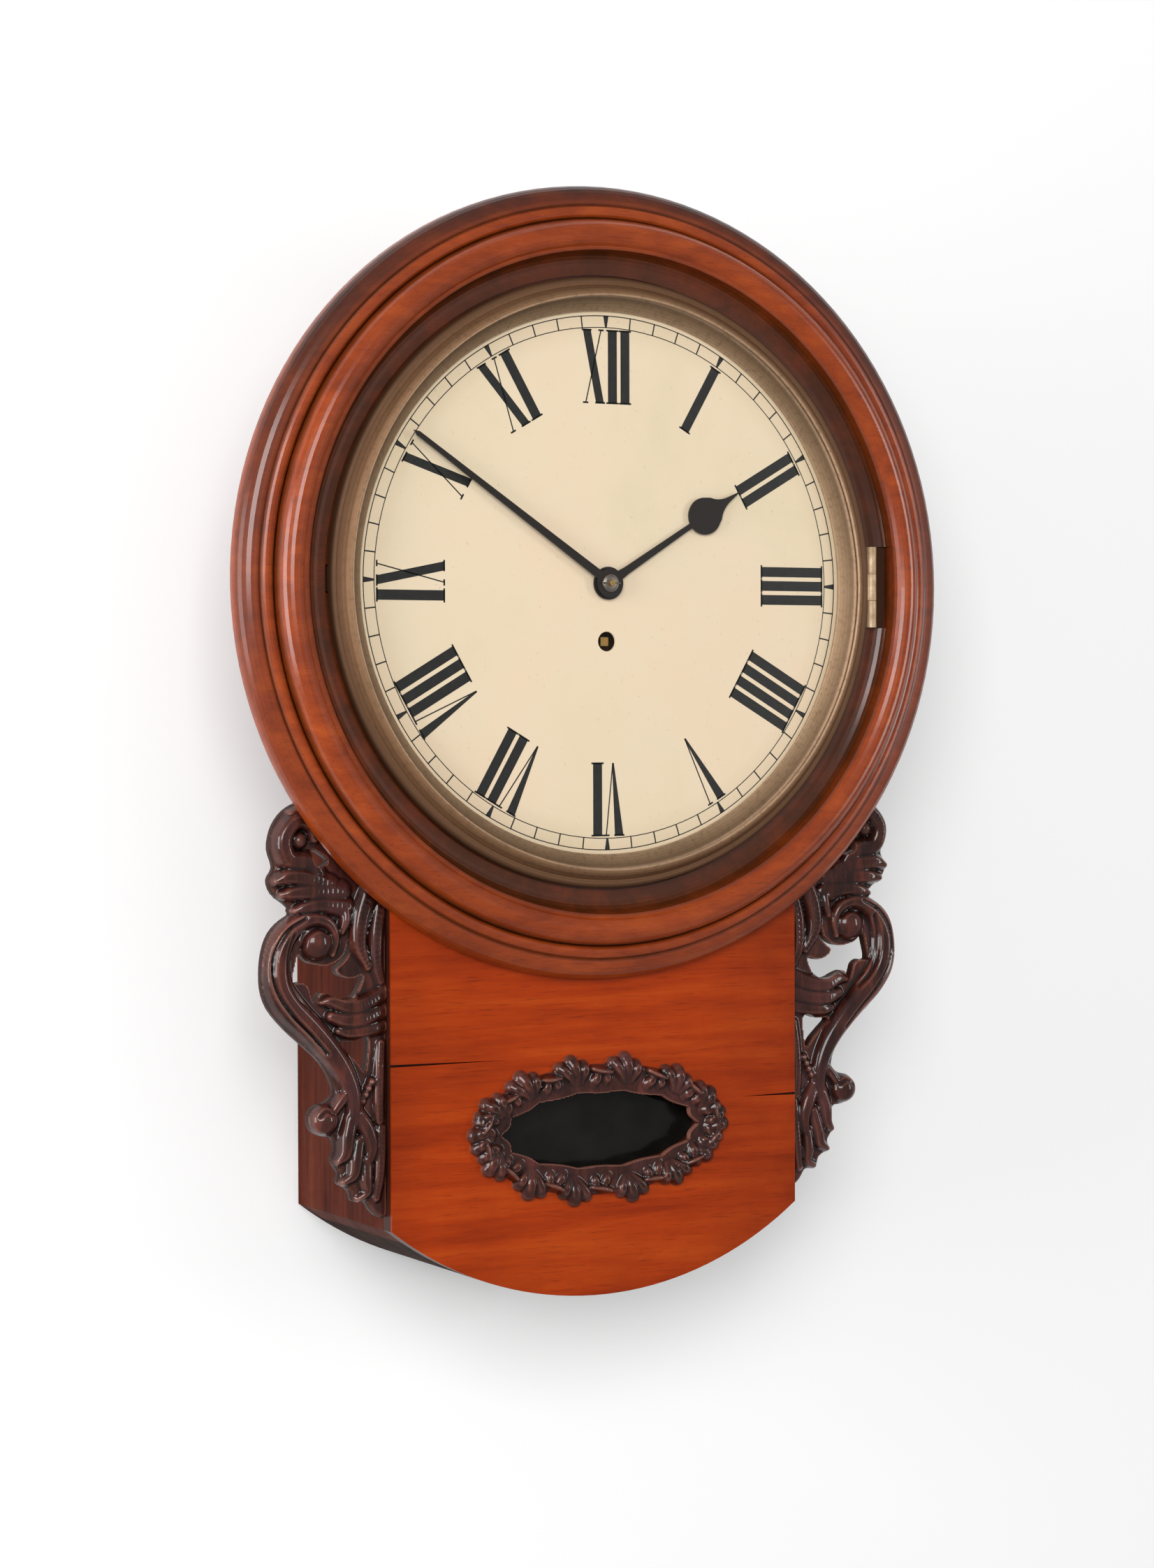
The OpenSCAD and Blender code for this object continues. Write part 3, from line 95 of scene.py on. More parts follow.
class Shader:
    """One material's node tree, with short calls for the nodes used here."""

    def __init__(self, name):
        self.mat = bpy.data.materials.new(name)
        self.mat.use_nodes = True
        self.tree = self.mat.node_tree
        self.bsdf = self.tree.nodes["Principled BSDF"]
        self.coord = None

    def node(self, kind, **inputs):
        n = self.tree.nodes.new(kind)
        for key, value in inputs.items():
            self.put(n.inputs[key.replace("_", " ")], value)
        return n

    def put(self, socket, value):
        """Links a socket to a node's output, or sets it to a value."""
        if isinstance(value, bpy.types.NodeSocket):
            self.tree.links.new(value, socket)
        else:
            socket.default_value = value

    def place(self, scale=(1, 1, 1)):
        """Object coordinates in metres, scaled."""
        if self.coord is None:
            self.coord = self.tree.nodes.new("ShaderNodeTexCoord").outputs["Object"]
        m = self.tree.nodes.new("ShaderNodeMapping")
        m.inputs["Scale"].default_value = scale
        self.tree.links.new(self.coord, m.inputs["Vector"])
        return m.outputs["Vector"]

    def axes(self, vector):
        """The x, y and z of a place."""
        return self.node("ShaderNodeSeparateXYZ", Vector=vector).outputs

    def noise(self, vector, scale, detail=3.0, rough=0.55, distortion=0.0):
        n = self.node("ShaderNodeTexNoise", Vector=vector, Scale=scale, Detail=detail,
                      Roughness=rough, Distortion=distortion)
        return n.outputs["Fac"]

    def ramp(self, value, *stops):
        """Maps a value through (position, colour) stops."""
        n = self.node("ShaderNodeValToRGB", Fac=value)
        elements = n.color_ramp.elements
        while len(elements) < len(stops):
            elements.new(0.5)
        for e, (at, colour) in zip(elements, stops):
            e.position = at
            e.color = colour
        return n.outputs["Color"]

    def grey(self, value, low, high, low_out=0.0, high_out=1.0):
        """Maps low..high to low_out..high_out, held at the ends."""
        n = self.node("ShaderNodeMapRange", Value=value)
        n.inputs["From Min"].default_value = low
        n.inputs["From Max"].default_value = high
        n.inputs["To Min"].default_value = low_out
        n.inputs["To Max"].default_value = high_out
        return n.outputs["Result"]

    def math(self, op, a, b=0.0):
        n = self.tree.nodes.new("ShaderNodeMath")
        n.operation = op
        self.put(n.inputs[0], a)
        self.put(n.inputs[1], b)
        return n.outputs[0]

    def times(self, a, b):
        return self.math("MULTIPLY", a, b)

    def mix(self, fac, a, b):
        n = self.tree.nodes.new("ShaderNodeMix")
        n.data_type = "RGBA"
        self.put(n.inputs[0], fac)
        self.put(n.inputs[6], a)
        self.put(n.inputs[7], b)
        return n.outputs[2]

    def bump(self, height, strength, distance):
        """Relief in the surface, its distance in metres."""
        n = self.node("ShaderNodeBump", Height=height, Strength=strength, Distance=distance)
        self.tree.links.new(n.outputs["Normal"], self.bsdf.inputs["Normal"])

    def finish(self, colour, rough, **sockets):
        """Sets the shader's colour, roughness and other sockets, and gives the material."""
        self.put(self.bsdf.inputs["Base Color"], colour)
        self.put(self.bsdf.inputs["Roughness"], rough)
        for key, value in sockets.items():
            self.put(self.bsdf.inputs[key.replace("_", " ")], value)
        return self.mat


# Finishes

PORE_LENGTH = 0.045  # Scale of the pores along the grain
# Near black, for painted shade
BLACK_SHADE = srgb(34, 22, 18)


def polished_wood(name, dark, mid, light, along="x", rough=0.3, coat=0.25, seed=0.0, blotch=0.3,
                  length=0.07, soft=0.13, shade=None, deep=None, black_shade=None):
    """French-polished mahogany: long figure, fine dark pores, reddish clouds and dull wear.

    The grain runs along x or z, and length is its scale that way. shade and the last argument are functions
    that give masks of painted shade, towards the colour deep and towards near black.
    """
    s = Shader(name)
    pos = s.place((length, 1, 1) if along == "x" else (1, 1, length))
    plain = s.place()
    warp = s.noise(plain, 9 + seed, 2)
    wide = s.noise(pos, 60 + seed, 4, 0.6, 0.6)
    figure = s.noise(pos, 190 + seed, 5, 0.65, 0.3)
    blended = s.math("ADD", s.times(wide, 0.6), s.times(figure, 0.4))
    colour = s.ramp(blended, (0.5 - soft, dark), (0.5, mid), (0.5 + soft, light))
    clouds = s.grey(warp, 0.38, 0.66)
    colour = s.mix(s.times(clouds, 0.35), colour, darker(mid, 0.55))
    mottle = s.grey(s.noise(plain, 75 + seed, 4, 0.65, 0.5), 0.5, 0.74)
    colour = s.mix(s.times(mottle, blotch), colour, dark)
    # Painted shade where the shade mask says
    if shade:
        colour = s.mix(shade(s, plain), colour, deep or darker(dark, 0.5))
    pore_pos = s.place((PORE_LENGTH, 1, 1) if along == "x" else (1, 1, PORE_LENGTH))
    pores = s.grey(s.noise(pore_pos, 1500, 2, 0.5), 0.6, 0.72)
    colour = s.mix(s.times(pores, 0.35), colour, darker(dark, 0.3))
    # Painted shade, near black, where the last mask says
    if black_shade:
        colour = s.mix(black_shade(s, plain), colour, BLACK_SHADE)
    worn = s.noise(plain, 55, 4, 0.7)
    s.bump(s.math("ADD", s.times(pores, -0.5), s.times(figure, 0.5)), 0.12, 0.0004)
    return s.finish(colour, s.grey(worn, 0.3, 0.75, rough + 0.1, rough + 0.3),
                    Coat_Weight=coat, Coat_Roughness=rough - 0.12, Specular_IOR_Level=0.04)


def panel_shade(s, plain):
    """Painted shade along the trunk's sides, under the ring and at the foot."""
    x, _, z = s.axes(plain)
    right = s.grey(x, 0.06, 0.112, 0.0, 0.62)
    left = s.grey(x, -0.09, -0.115, 0.0, 0.4)
    under_ring = s.grey(z, -0.2, -0.165, 0.0, 0.45)
    foot = s.grey(z, -0.33, -0.36, 0.0, 0.25)
    sides = s.math("MAXIMUM", right, left)
    darkened = s.math("MAXIMUM", s.math("MAXIMUM", sides, under_ring), foot)
    patchy = s.grey(s.noise(plain, 22, 4, 0.65), 0.35, 0.65, 0.35, 1.0)
    return s.times(darkened, patchy)


def panel_edge_shade(s, plain):
    """Painted shade, nearly black, on the edges and walls behind the trunk's front face."""
    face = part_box("front_panel")[0].y
    return s.grey(s.axes(plain)[1], face + 0.0006, face + 0.002, 0.0, 0.92)


def radius_of(s, plain):
    """Distance from the dial's axis, and the height above it."""
    x, _, z = s.axes(plain)
    return s.math("SQRT", s.math("ADD", s.times(x, x), s.times(z, z))), z


COVE_INNER, COVE_OUTER = 0.1655, 0.1685
GROOVES = ((0.1824, 0.0018, 0.75), (0.1896, 0.0016, 0.7))  # Radius, half width and darkness of each
GROOVE_FLOOR = 0.0004
OUTER_BEAD, OUTER_CREST, OUTER_EDGE = 0.188, 0.1925, 0.1985


def ring_front(s, plain):
    """One on the turned front of the surround, none on its flat back."""
    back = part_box("dial_surround")[1].y
    return s.grey(s.axes(plain)[1], back - 0.006, back - 0.002, 1.0, 0.0)


def ring_top_shade(s, plain):
    """Painted shade on the rounded outer edge, darkest round the top."""
    radius, z = radius_of(s, plain)
    edge = s.times(s.grey(radius, OUTER_BEAD, OUTER_CREST),
                   s.grey(radius, OUTER_BEAD + 0.001, OUTER_EDGE, 0.65, 1.0))
    patchy = s.grey(s.noise(plain, 40, 4, 0.65), 0.3, 0.65, 0.75, 1.0)
    upper = s.times(s.grey(z, -0.12, 0.12, 0.15, 0.93), patchy)
    return s.times(s.times(edge, upper), ring_front(s, plain))


def ring_shade(s, plain):
    """Painted shade in the cove inside the torus and in the two grooves."""
    radius, _ = radius_of(s, plain)
    dark = s.grey(radius, COVE_INNER, COVE_OUTER, 0.92, 0.0)
    for groove, half, depth in GROOVES:
        off = s.math("ABSOLUTE", s.math("SUBTRACT", radius, groove))
        dark = s.math("MAXIMUM", dark, s.grey(off, GROOVE_FLOOR, half, depth, 0.0))
    patchy = s.grey(s.noise(plain, 45, 4, 0.65), 0.3, 0.6, 0.7, 1.0)
    return s.times(s.times(dark, patchy), ring_front(s, plain))


def bare_wood(name):
    """Unpolished pine, stained and dirty, with its grain upright."""
    s = Shader(name)
    grain = s.noise(s.place((1, 1, 0.06)), 130, 5, 0.6, 0.4)
    colour = s.ramp(grain, (0.35, srgb(122, 84, 48)), (0.52, srgb(164, 122, 76)),
                    (0.68, srgb(188, 150, 100)))
    dirt = s.grey(s.noise(s.place(), 16, 4), 0.4, 0.75)
    colour = s.mix(s.times(dirt, 0.45), colour, srgb(84, 58, 36))
    s.bump(grain, 0.25, 0.0006)
    return s.finish(colour, 0.72)


SAWN_FROM, SAWN_TO = -0.1105, -0.1085  # Between these y planes a carving's polish gives way to sawn sides


def carved_finish(name):
    """Dark stained carving with a painted highlight on its edges (partly rubbed wear), painted shade near
    black in its hollows, darkest on its sawn sides.
    """
    s = Shader(name)
    pointiness = s.tree.nodes.new("ShaderNodeNewGeometry").outputs["Pointiness"]
    plain = s.place()
    grain = s.noise(s.place((1, 1, 0.3)), 160, 4, 0.6, 0.4)
    colour = s.ramp(grain, (0.35, srgb(34, 12, 8)), (0.52, srgb(56, 23, 15)), (0.7, srgb(84, 38, 27)))
    patch = s.grey(s.noise(plain, 34, 3), 0.45, 0.7)
    colour = s.mix(s.times(patch, 0.4), colour, srgb(92, 50, 50))
    # Painted highlight on the edges, partly rubbed wear
    edge = s.grey(pointiness, 0.515, 0.57)
    colour = s.mix(s.times(edge, 0.6), colour, srgb(158, 104, 88))
    # Painted shade in the hollows
    hollow_shade = s.grey(pointiness, 0.498, 0.46)
    colour = s.mix(s.times(hollow_shade, 0.92), colour, srgb(12, 5, 4))
    depth = s.axes(plain)[1]
    colour = s.mix(s.grey(depth, SAWN_FROM, SAWN_TO, 0.0, 0.9), colour, srgb(34, 15, 10))
    coat = s.grey(depth, SAWN_FROM, SAWN_TO, 0.75, 0.05)
    s.bump(grain, 0.12, 0.0004)
    rough = s.grey(s.noise(plain, 90, 3), 0.3, 0.7, 0.3, 0.5)
    return s.finish(colour, rough, Coat_Weight=coat, Coat_Roughness=0.13, Specular_IOR_Level=0.05)


def aged_brass(name, clean, dull, dark, rough=0.34, tarnish=0.5, patches=28):
    """Brass with dull patches and dark spots of tarnish."""
    s = Shader(name)
    plain = s.place()
    patch = s.noise(plain, patches, 5, 0.62)
    spots = s.noise(plain, 420, 3, 0.6)
    colour = s.ramp(patch, (0.36, dull), (0.62, clean))
    colour = s.mix(s.times(s.grey(spots, 0.52, 0.72), tarnish), colour, dark)
    s.bump(s.noise(plain, 900, 2), 0.08, 0.0002)
    return s.finish(colour, s.grey(patch, 0.3, 0.75, rough + 0.14, rough - 0.04), Metallic=1.0)


BEZEL_INNER, BEZEL_OUTER = 0.1335, 0.1535
TURNED_LINES = 4400.0  # Radians per metre of radius
# Tones by radius, dial side first: painted reflection of the dial, painted highlight on the crest at 0.51,
# then painted shade towards the wood
BEZEL_PAINTED_LIGHT = ((0.0, srgb(204, 174, 142)), (0.22, srgb(156, 126, 94)), (0.46, srgb(118, 90, 62)),
               (0.51, srgb(182, 150, 120)), (0.57, srgb(134, 100, 70)), (0.8, srgb(112, 78, 51)),
               (1.0, srgb(84, 55, 33)))


def bezel_finish(name):
    """Lacquered brass with its light painted by radius: a painted reflection of the dial beside it, a
    painted highlight on the crest and painted shade, brown, towards the wood.
    """
    s = Shader(name)
    plain = s.place()
    radius, _ = radius_of(s, plain)
    # The brass colour with its light painted in by radius
    lit_tone = s.ramp(s.grey(radius, BEZEL_INNER, BEZEL_OUTER), *BEZEL_PAINTED_LIGHT)
    lines = s.math("SINE", s.times(radius, TURNED_LINES))
    colour = s.mix(s.grey(lines, 0.2, 1.0, 0.0, 0.16), lit_tone, srgb(70, 46, 28))
    spots = s.grey(s.noise(plain, 420, 3, 0.6), 0.5, 0.72)
    colour = s.mix(s.times(spots, 0.4), colour, srgb(84, 60, 40))
    patch = s.noise(plain, 28, 5, 0.62)
    colour = s.mix(s.grey(patch, 0.45, 0.75, 0.0, 0.3), colour, srgb(108, 80, 54))
    s.bump(lines, 0.06, 0.0002)
    return s.finish(colour, s.grey(patch, 0.3, 0.75, 0.66, 0.48), Metallic=0.5)


def hinge_finish(name):
    """Pale brass by the pin, rubbed and with a painted highlight; the leaf let into the wood is brown,
    painted shade.
    """
    s = Shader(name)
    plain = s.place()
    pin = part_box("bezel_hinge")[0].x
    wear = s.noise(plain, 160, 4, 0.6)
    # Painted highlight by the pin, varied by wear
    pale_highlight = s.ramp(wear, (0.35, srgb(170, 142, 110)), (0.65, srgb(212, 186, 152)))
    # Painted shade, brown, on the leaf beyond the strip by the pin
    leaf = s.grey(s.axes(plain)[0], pin + 0.0046, pin + 0.0058)
    colour = s.mix(leaf, pale_highlight, srgb(66, 38, 20))
    s.bump(wear, 0.08, 0.0002)
    return s.finish(colour, s.grey(wear, 0.3, 0.7, 0.62, 0.45), Metallic=0.5)


def steel(name, colour, rough, metallic=1.0):
    """Steel with darker stains."""
    s = Shader(name)
    n = s.noise(s.place(), 300, 4, 0.6)
    tint = s.mix(s.times(s.grey(n, 0.5, 0.75), 0.5), colour, darker(colour, 0.5))
    s.bump(n, 0.06, 0.0002)
    return s.finish(tint, s.grey(n, 0.3, 0.7, rough - 0.05, rough + 0.1), Metallic=metallic)


def dial_paint_finish(name):
    """Cream paint, darker towards the rim, with faint stains and fine specks."""
    s = Shader(name)
    plain = s.place()
    stain = s.noise(plain, 11, 5, 0.62, 0.3)
    colour = s.ramp(stain, (0.3, srgb(246, 220, 188)), (0.5, srgb(242, 222, 190)),
                    (0.7, srgb(236, 218, 182)))
    specks = s.grey(s.noise(plain, 520, 2, 0.5), 0.68, 0.76)
    colour = s.mix(s.times(specks, 0.25), colour, srgb(170, 140, 104))
    radius, _ = radius_of(s, plain)
    rim = s.grey(radius, 0.120, 0.140)
    colour = s.mix(s.times(rim, 0.35), colour, srgb(196, 166, 124))
    s.bump(stain, 0.05, 0.0006)
    return s.finish(colour, 0.42)


def dial_black_finish(name):
    """Black paint, worn in places."""
    s = Shader(name)
    wear = s.noise(s.place(), 260, 4, 0.65)
    colour = s.ramp(wear, (0.45, srgb(9, 9, 8)), (0.75, srgb(34, 30, 26)))
    s.bump(wear, 0.1, 0.0002)
    return s.finish(colour, 0.4)


GLASS_TINT = (0.05, 0.055, 0.05, 1)


def clear_glass_finish(name):
    """Thin, faintly smeared glass over the dial."""
    s = Shader(name)
    smear = s.noise(s.place(), 14, 3)
    s.mat.surface_render_method = "BLENDED"
    return s.finish(GLASS_TINT, s.grey(smear, 0.3, 0.7, 0.02, 0.06), Alpha=0.05)


def window_glass_finish(name):
    """Dusty glass painted nearly black and mostly opaque: painted shade for the dark inside of the trunk.
    """
    s = Shader(name)
    dust = s.noise(s.place(), 35, 4, 0.6)
    s.mat.surface_render_method = "BLENDED"
    # Near black and mostly opaque: painted shade of the trunk's dark inside, lightened by dust
    colour = s.ramp(dust, (0.35, srgb(12, 12, 10)), (0.7, srgb(30, 27, 24)))
    return s.finish(colour, s.grey(dust, 0.3, 0.7, 0.08, 0.2), Alpha=0.8, Specular_IOR_Level=0.3)


finishes = {
    "mahogany": polished_wood("mahogany_trunk", srgb(132, 38, 4), srgb(164, 55, 7), srgb(180, 70, 14),
                              blotch=0.2, length=0.09, soft=0.17,
                              shade=panel_shade, black_shade=panel_edge_shade),
    "mahogany_ring": polished_wood("mahogany_ring", srgb(112, 40, 8), srgb(142, 56, 14), srgb(166, 72, 20),
                                   rough=0.34, coat=0.8, seed=3.0, blotch=0.2, length=0.3, soft=0.2,
                                   shade=ring_shade, deep=srgb(58, 28, 9), black_shade=ring_top_shade),
    # Darker copy of the mahogany for the sides, side door and top board: partly darker wood, partly painted
    # shade
    "mahogany_side_shaded": polished_wood("mahogany_side_shaded", srgb(52, 19, 11), srgb(82, 34, 21), srgb(100, 46, 30),
                                   along="z", rough=0.5, coat=0.05, seed=6.0),
    # Nearly black copy for the bottom board and door: painted shade on the underside
    "mahogany_foot_shaded": polished_wood("mahogany_foot_shaded", srgb(26, 16, 12), srgb(48, 30, 22), srgb(66, 42, 30),
                                   rough=0.6, coat=0.03, seed=9.0),
    "pine": bare_wood("aged_pine"),
    "carved_wood": carved_finish("carved_mahogany"),
    "window_glass": window_glass_finish("dusty_glass_painted_dark"),
    "clear_glass": clear_glass_finish("dial_glass"),
    "case_brass": aged_brass("case_brass", srgb(188, 150, 92), srgb(148, 112, 66), srgb(84, 60, 38)),
    "bezel_brass": bezel_finish("bezel_brass"),
    "sight_brass": bezel_finish("sight_brass"),
    "hinge_brass": hinge_finish("hinge_brass"),
    "dial_paint": dial_paint_finish("dial_cream"),
    "dial_black": dial_black_finish("dial_black"),
    "blued_steel": steel("blued_steel", srgb(46, 40, 38), 0.34, 0.6),
    "screw_steel": steel("screw_steel", srgb(150, 140, 128), 0.3),
    "clock_brass": aged_brass("clock_brass", srgb(212, 174, 104), srgb(182, 142, 78), srgb(120, 88, 48),
                              rough=0.26, tarnish=0.3, patches=70),
    "clock_steel": steel("clock_steel", srgb(158, 158, 160), 0.24),
    "bob_brass": aged_brass("bob_brass", srgb(176, 138, 82), srgb(134, 100, 60), srgb(80, 58, 36),
                            rough=0.3),
}
own_finish = {
    "dial_surround": "mahogany_ring",
    "bezel_hinge": "hinge_brass",
    "bezel_knuckle": "hinge_brass",
    "side_left": "mahogany_side_shaded",
    "side_right": "mahogany_side_shaded",
    "side_door": "mahogany_side_shaded",
    "top_board": "mahogany_side_shaded",
    "bottom_board": "mahogany_foot_shaded",
    "bottom_door": "mahogany_foot_shaded",
}
for row in frame["record"]["subparts"]:
    node = frame["nodes"][row["node"]]
    node.data.materials.clear()
    node.data.materials.append(finishes[own_finish.get(row["node"], row["material_slot"])])

# Mesh helpers


def add_piece(name, verts, faces, finish, body="case", smooth=None):
    """Makes a mesh object that rides on a body; faces within the angle smooth are shaded smooth."""
    mesh = bpy.data.meshes.new(name)
    mesh.from_pydata([tuple(v) for v in verts], [], faces)
    mesh.validate()
    mesh.materials.append(finishes[finish])
    obj = bpy.data.objects.new(name, mesh)
    scene.collection.objects.link(obj)
    if smooth is not None:
        mesh.shade_smooth()
        mesh.set_sharp_from_angle(angle=math.radians(smooth))
    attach(obj, body)
    return obj


class Prisms:
    """Collects flat outlines that stand a little proud of the dial."""

    def __init__(self, back, front):
        self.back, self.front = back * MM, front * MM
        self.verts, self.faces = [], []

    def outline(self, points):
        """One closed outline of (x, z) points in mm, counterclockwise as seen from the front."""
        n, base = len(points), len(self.verts)
        self.verts += [(x * MM, -self.front, z * MM) for x, z in points]
        self.verts += [(x * MM, -self.back, z * MM) for x, z in points]
        self.faces.append([base + i for i in range(n)])
        self.faces.append([base + n + i for i in reversed(range(n))])
        for i in range(n):
            j = (i + 1) % n
            self.faces.append([base + i, base + n + i, base + n + j, base + j])

    def ring(self, r_in, r_out, steps=360):
        """A thin ring round the dial's centre."""
        base = len(self.verts)
        turn = np.linspace(0, 2 * math.pi, steps, False)
        for r, d in ((r_in, self.front), (r_out, self.front), (r_out, self.back), (r_in, self.back)):
            self.verts += [(r * MM * math.sin(a), -d, r * MM * math.cos(a)) for a in turn]
        for i in range(steps):
            j = (i + 1) % steps
            for k in range(4):
                a, b = base + k * steps, base + (k + 1) % 4 * steps
                self.faces.append([a + i, a + j, b + j, b + i])


def placed(points, clock_angle):
    """Turns (sideways, outwards) points of a numeral to its place on the dial."""
    a = math.radians(clock_angle)
    sin, cos = math.sin(a), math.cos(a)
    return [(t * cos + r * sin, r * cos - t * sin) for t, r in points]


# Painted dial

# Lengths in mm. A numeral's foot points at the centre; each letter takes its ADVANCE sideways.
FOOT, HEAD = 90.5, 127.2
THICK, HAIR, SERIF_OUT = 5.1, 0.6, 0.3
SLANT_V, SLANT_X, SLANT_HAIR = 4.9, 4.5, 0.65
NUMERALS = ["XII", "I", "II", "III", "IIII", "V", "VI", "VII", "VIII", "IX", "X", "XI"]
ADVANCE = {"I": 7.2, "V": 11.0, "X": 14.5}
SERIF_I = ADVANCE["I"] / 2 - 0.1
TRACK_INNER, TRACK_OUTER, TRACK_END = (128.3, 128.75), (134.1, 134.6), 134.6
MINUTE_HALF, HOUR_HALF_IN, HOUR_HALF_OUT = 0.35, 0.5, 1.5
INK_SUNK, NUMERAL_PROUD, TRACK_PROUD = 0.05, 0.06, 0.05
DIAL_D = -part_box("dial_plate")[0].y / MM


def stroke(t_foot, t_head, w_foot, w_head):
    """A slanting stroke from the numeral's foot to its head."""
    return [(t_foot - w_foot / 2, FOOT), (t_foot + w_foot / 2, FOOT),
            (t_head + w_head / 2, HEAD), (t_head - w_head / 2, HEAD)]


def serif(t0, t1, at_head):
    """A hairline across the numeral's head or foot."""
    low, high = (HEAD - HAIR, HEAD + SERIF_OUT) if at_head else (FOOT - SERIF_OUT, FOOT + HAIR)
    return [(t0, low), (t1, low), (t1, high), (t0, high)]


def glyph(letter, at):
    """The outlines of one letter whose middle lies at the given sideways place."""
    if letter == "I":
        return [
            stroke(at, at, THICK, THICK),
            serif(at - SERIF_I, at + SERIF_I, False),
            serif(at - SERIF_I, at + SERIF_I, True),
        ]
    if letter == "V":
        return [
            stroke(at + 0.3, at - 3.2, 1.0, SLANT_V),
            stroke(at + 0.4, at + 4.2, 0.6, SLANT_HAIR),
            serif(at - 6.2, at - 0.4, True),
            serif(at + 2.4, at + 5.6, True),
        ]
    return [
        stroke(at + 3.7, at - 3.7, SLANT_X, SLANT_X),
        stroke(at - 4.4, at + 4.4, SLANT_HAIR, SLANT_HAIR),
        serif(at - 6.6, at - 1.0, True),
        serif(at + 2.9, at + 6.0, True),
        serif(at - 6.0, at - 2.9, False),
        serif(at + 1.0, at + 6.6, False),
    ]


def paint_dial():
    """Numerals and minute track, raised a hair over the plate."""
    ink = Prisms(DIAL_D - INK_SUNK, DIAL_D + NUMERAL_PROUD)
    for hour, word in enumerate(NUMERALS):
        at = -sum(ADVANCE[c] for c in word) / 2
        for letter in word:
            for outline in glyph(letter, at + ADVANCE[letter] / 2):
                ink.outline(placed(outline, 30 * hour))
            at += ADVANCE[letter]
    add_piece("dial_numerals", ink.verts, ink.faces, "dial_black")
    track = Prisms(DIAL_D - INK_SUNK, DIAL_D + TRACK_PROUD)
    track.ring(*TRACK_INNER)
    track.ring(*TRACK_OUTER)
    start = TRACK_INNER[0]
    for minute in range(60):
        half_in, half_out = (MINUTE_HALF, MINUTE_HALF) if minute % 5 else (HOUR_HALF_IN, HOUR_HALF_OUT)
        mark = [(-half_in, start), (half_in, start), (half_out, TRACK_END), (-half_out, TRACK_END)]
        track.outline(placed(mark, 6 * minute))
    add_piece("dial_minute_track", track.verts, track.faces, "dial_black")


paint_dial()

# Carving


def spline(knots, steps=5):
    """Points on a smooth curve through rows of numbers."""
    k = np.array(knots, float)
    if len(k) == 1:
        return k
    ext = np.vstack([2 * k[0] - k[1], k, 2 * k[-1] - k[-2]])
    out = []
    for i in range(1, len(ext) - 2):
        p, q, r, s = ext[i - 1:i + 3]
        for t in np.arange(steps) / steps:
            square, cube = 2 * p - 5 * q + 4 * r - s, 3 * q - p - 3 * r + s
            out.append(0.5 * (2 * q + (r - p) * t + square * t * t + cube * t ** 3))
    out.append(k[-1])
    return np.array(out)


def closed_spline(knots, steps=3):
    """Points on a smooth closed curve through (u, z) knots."""
    return spline(knots[-1:] + knots + knots[:2], steps)[steps:-steps - 1]


VEIN_WIDTH = 0.22  # Of a stroke's half width
RIM_DROP = 1.2  # How far a relief's rim lies below the nearest height


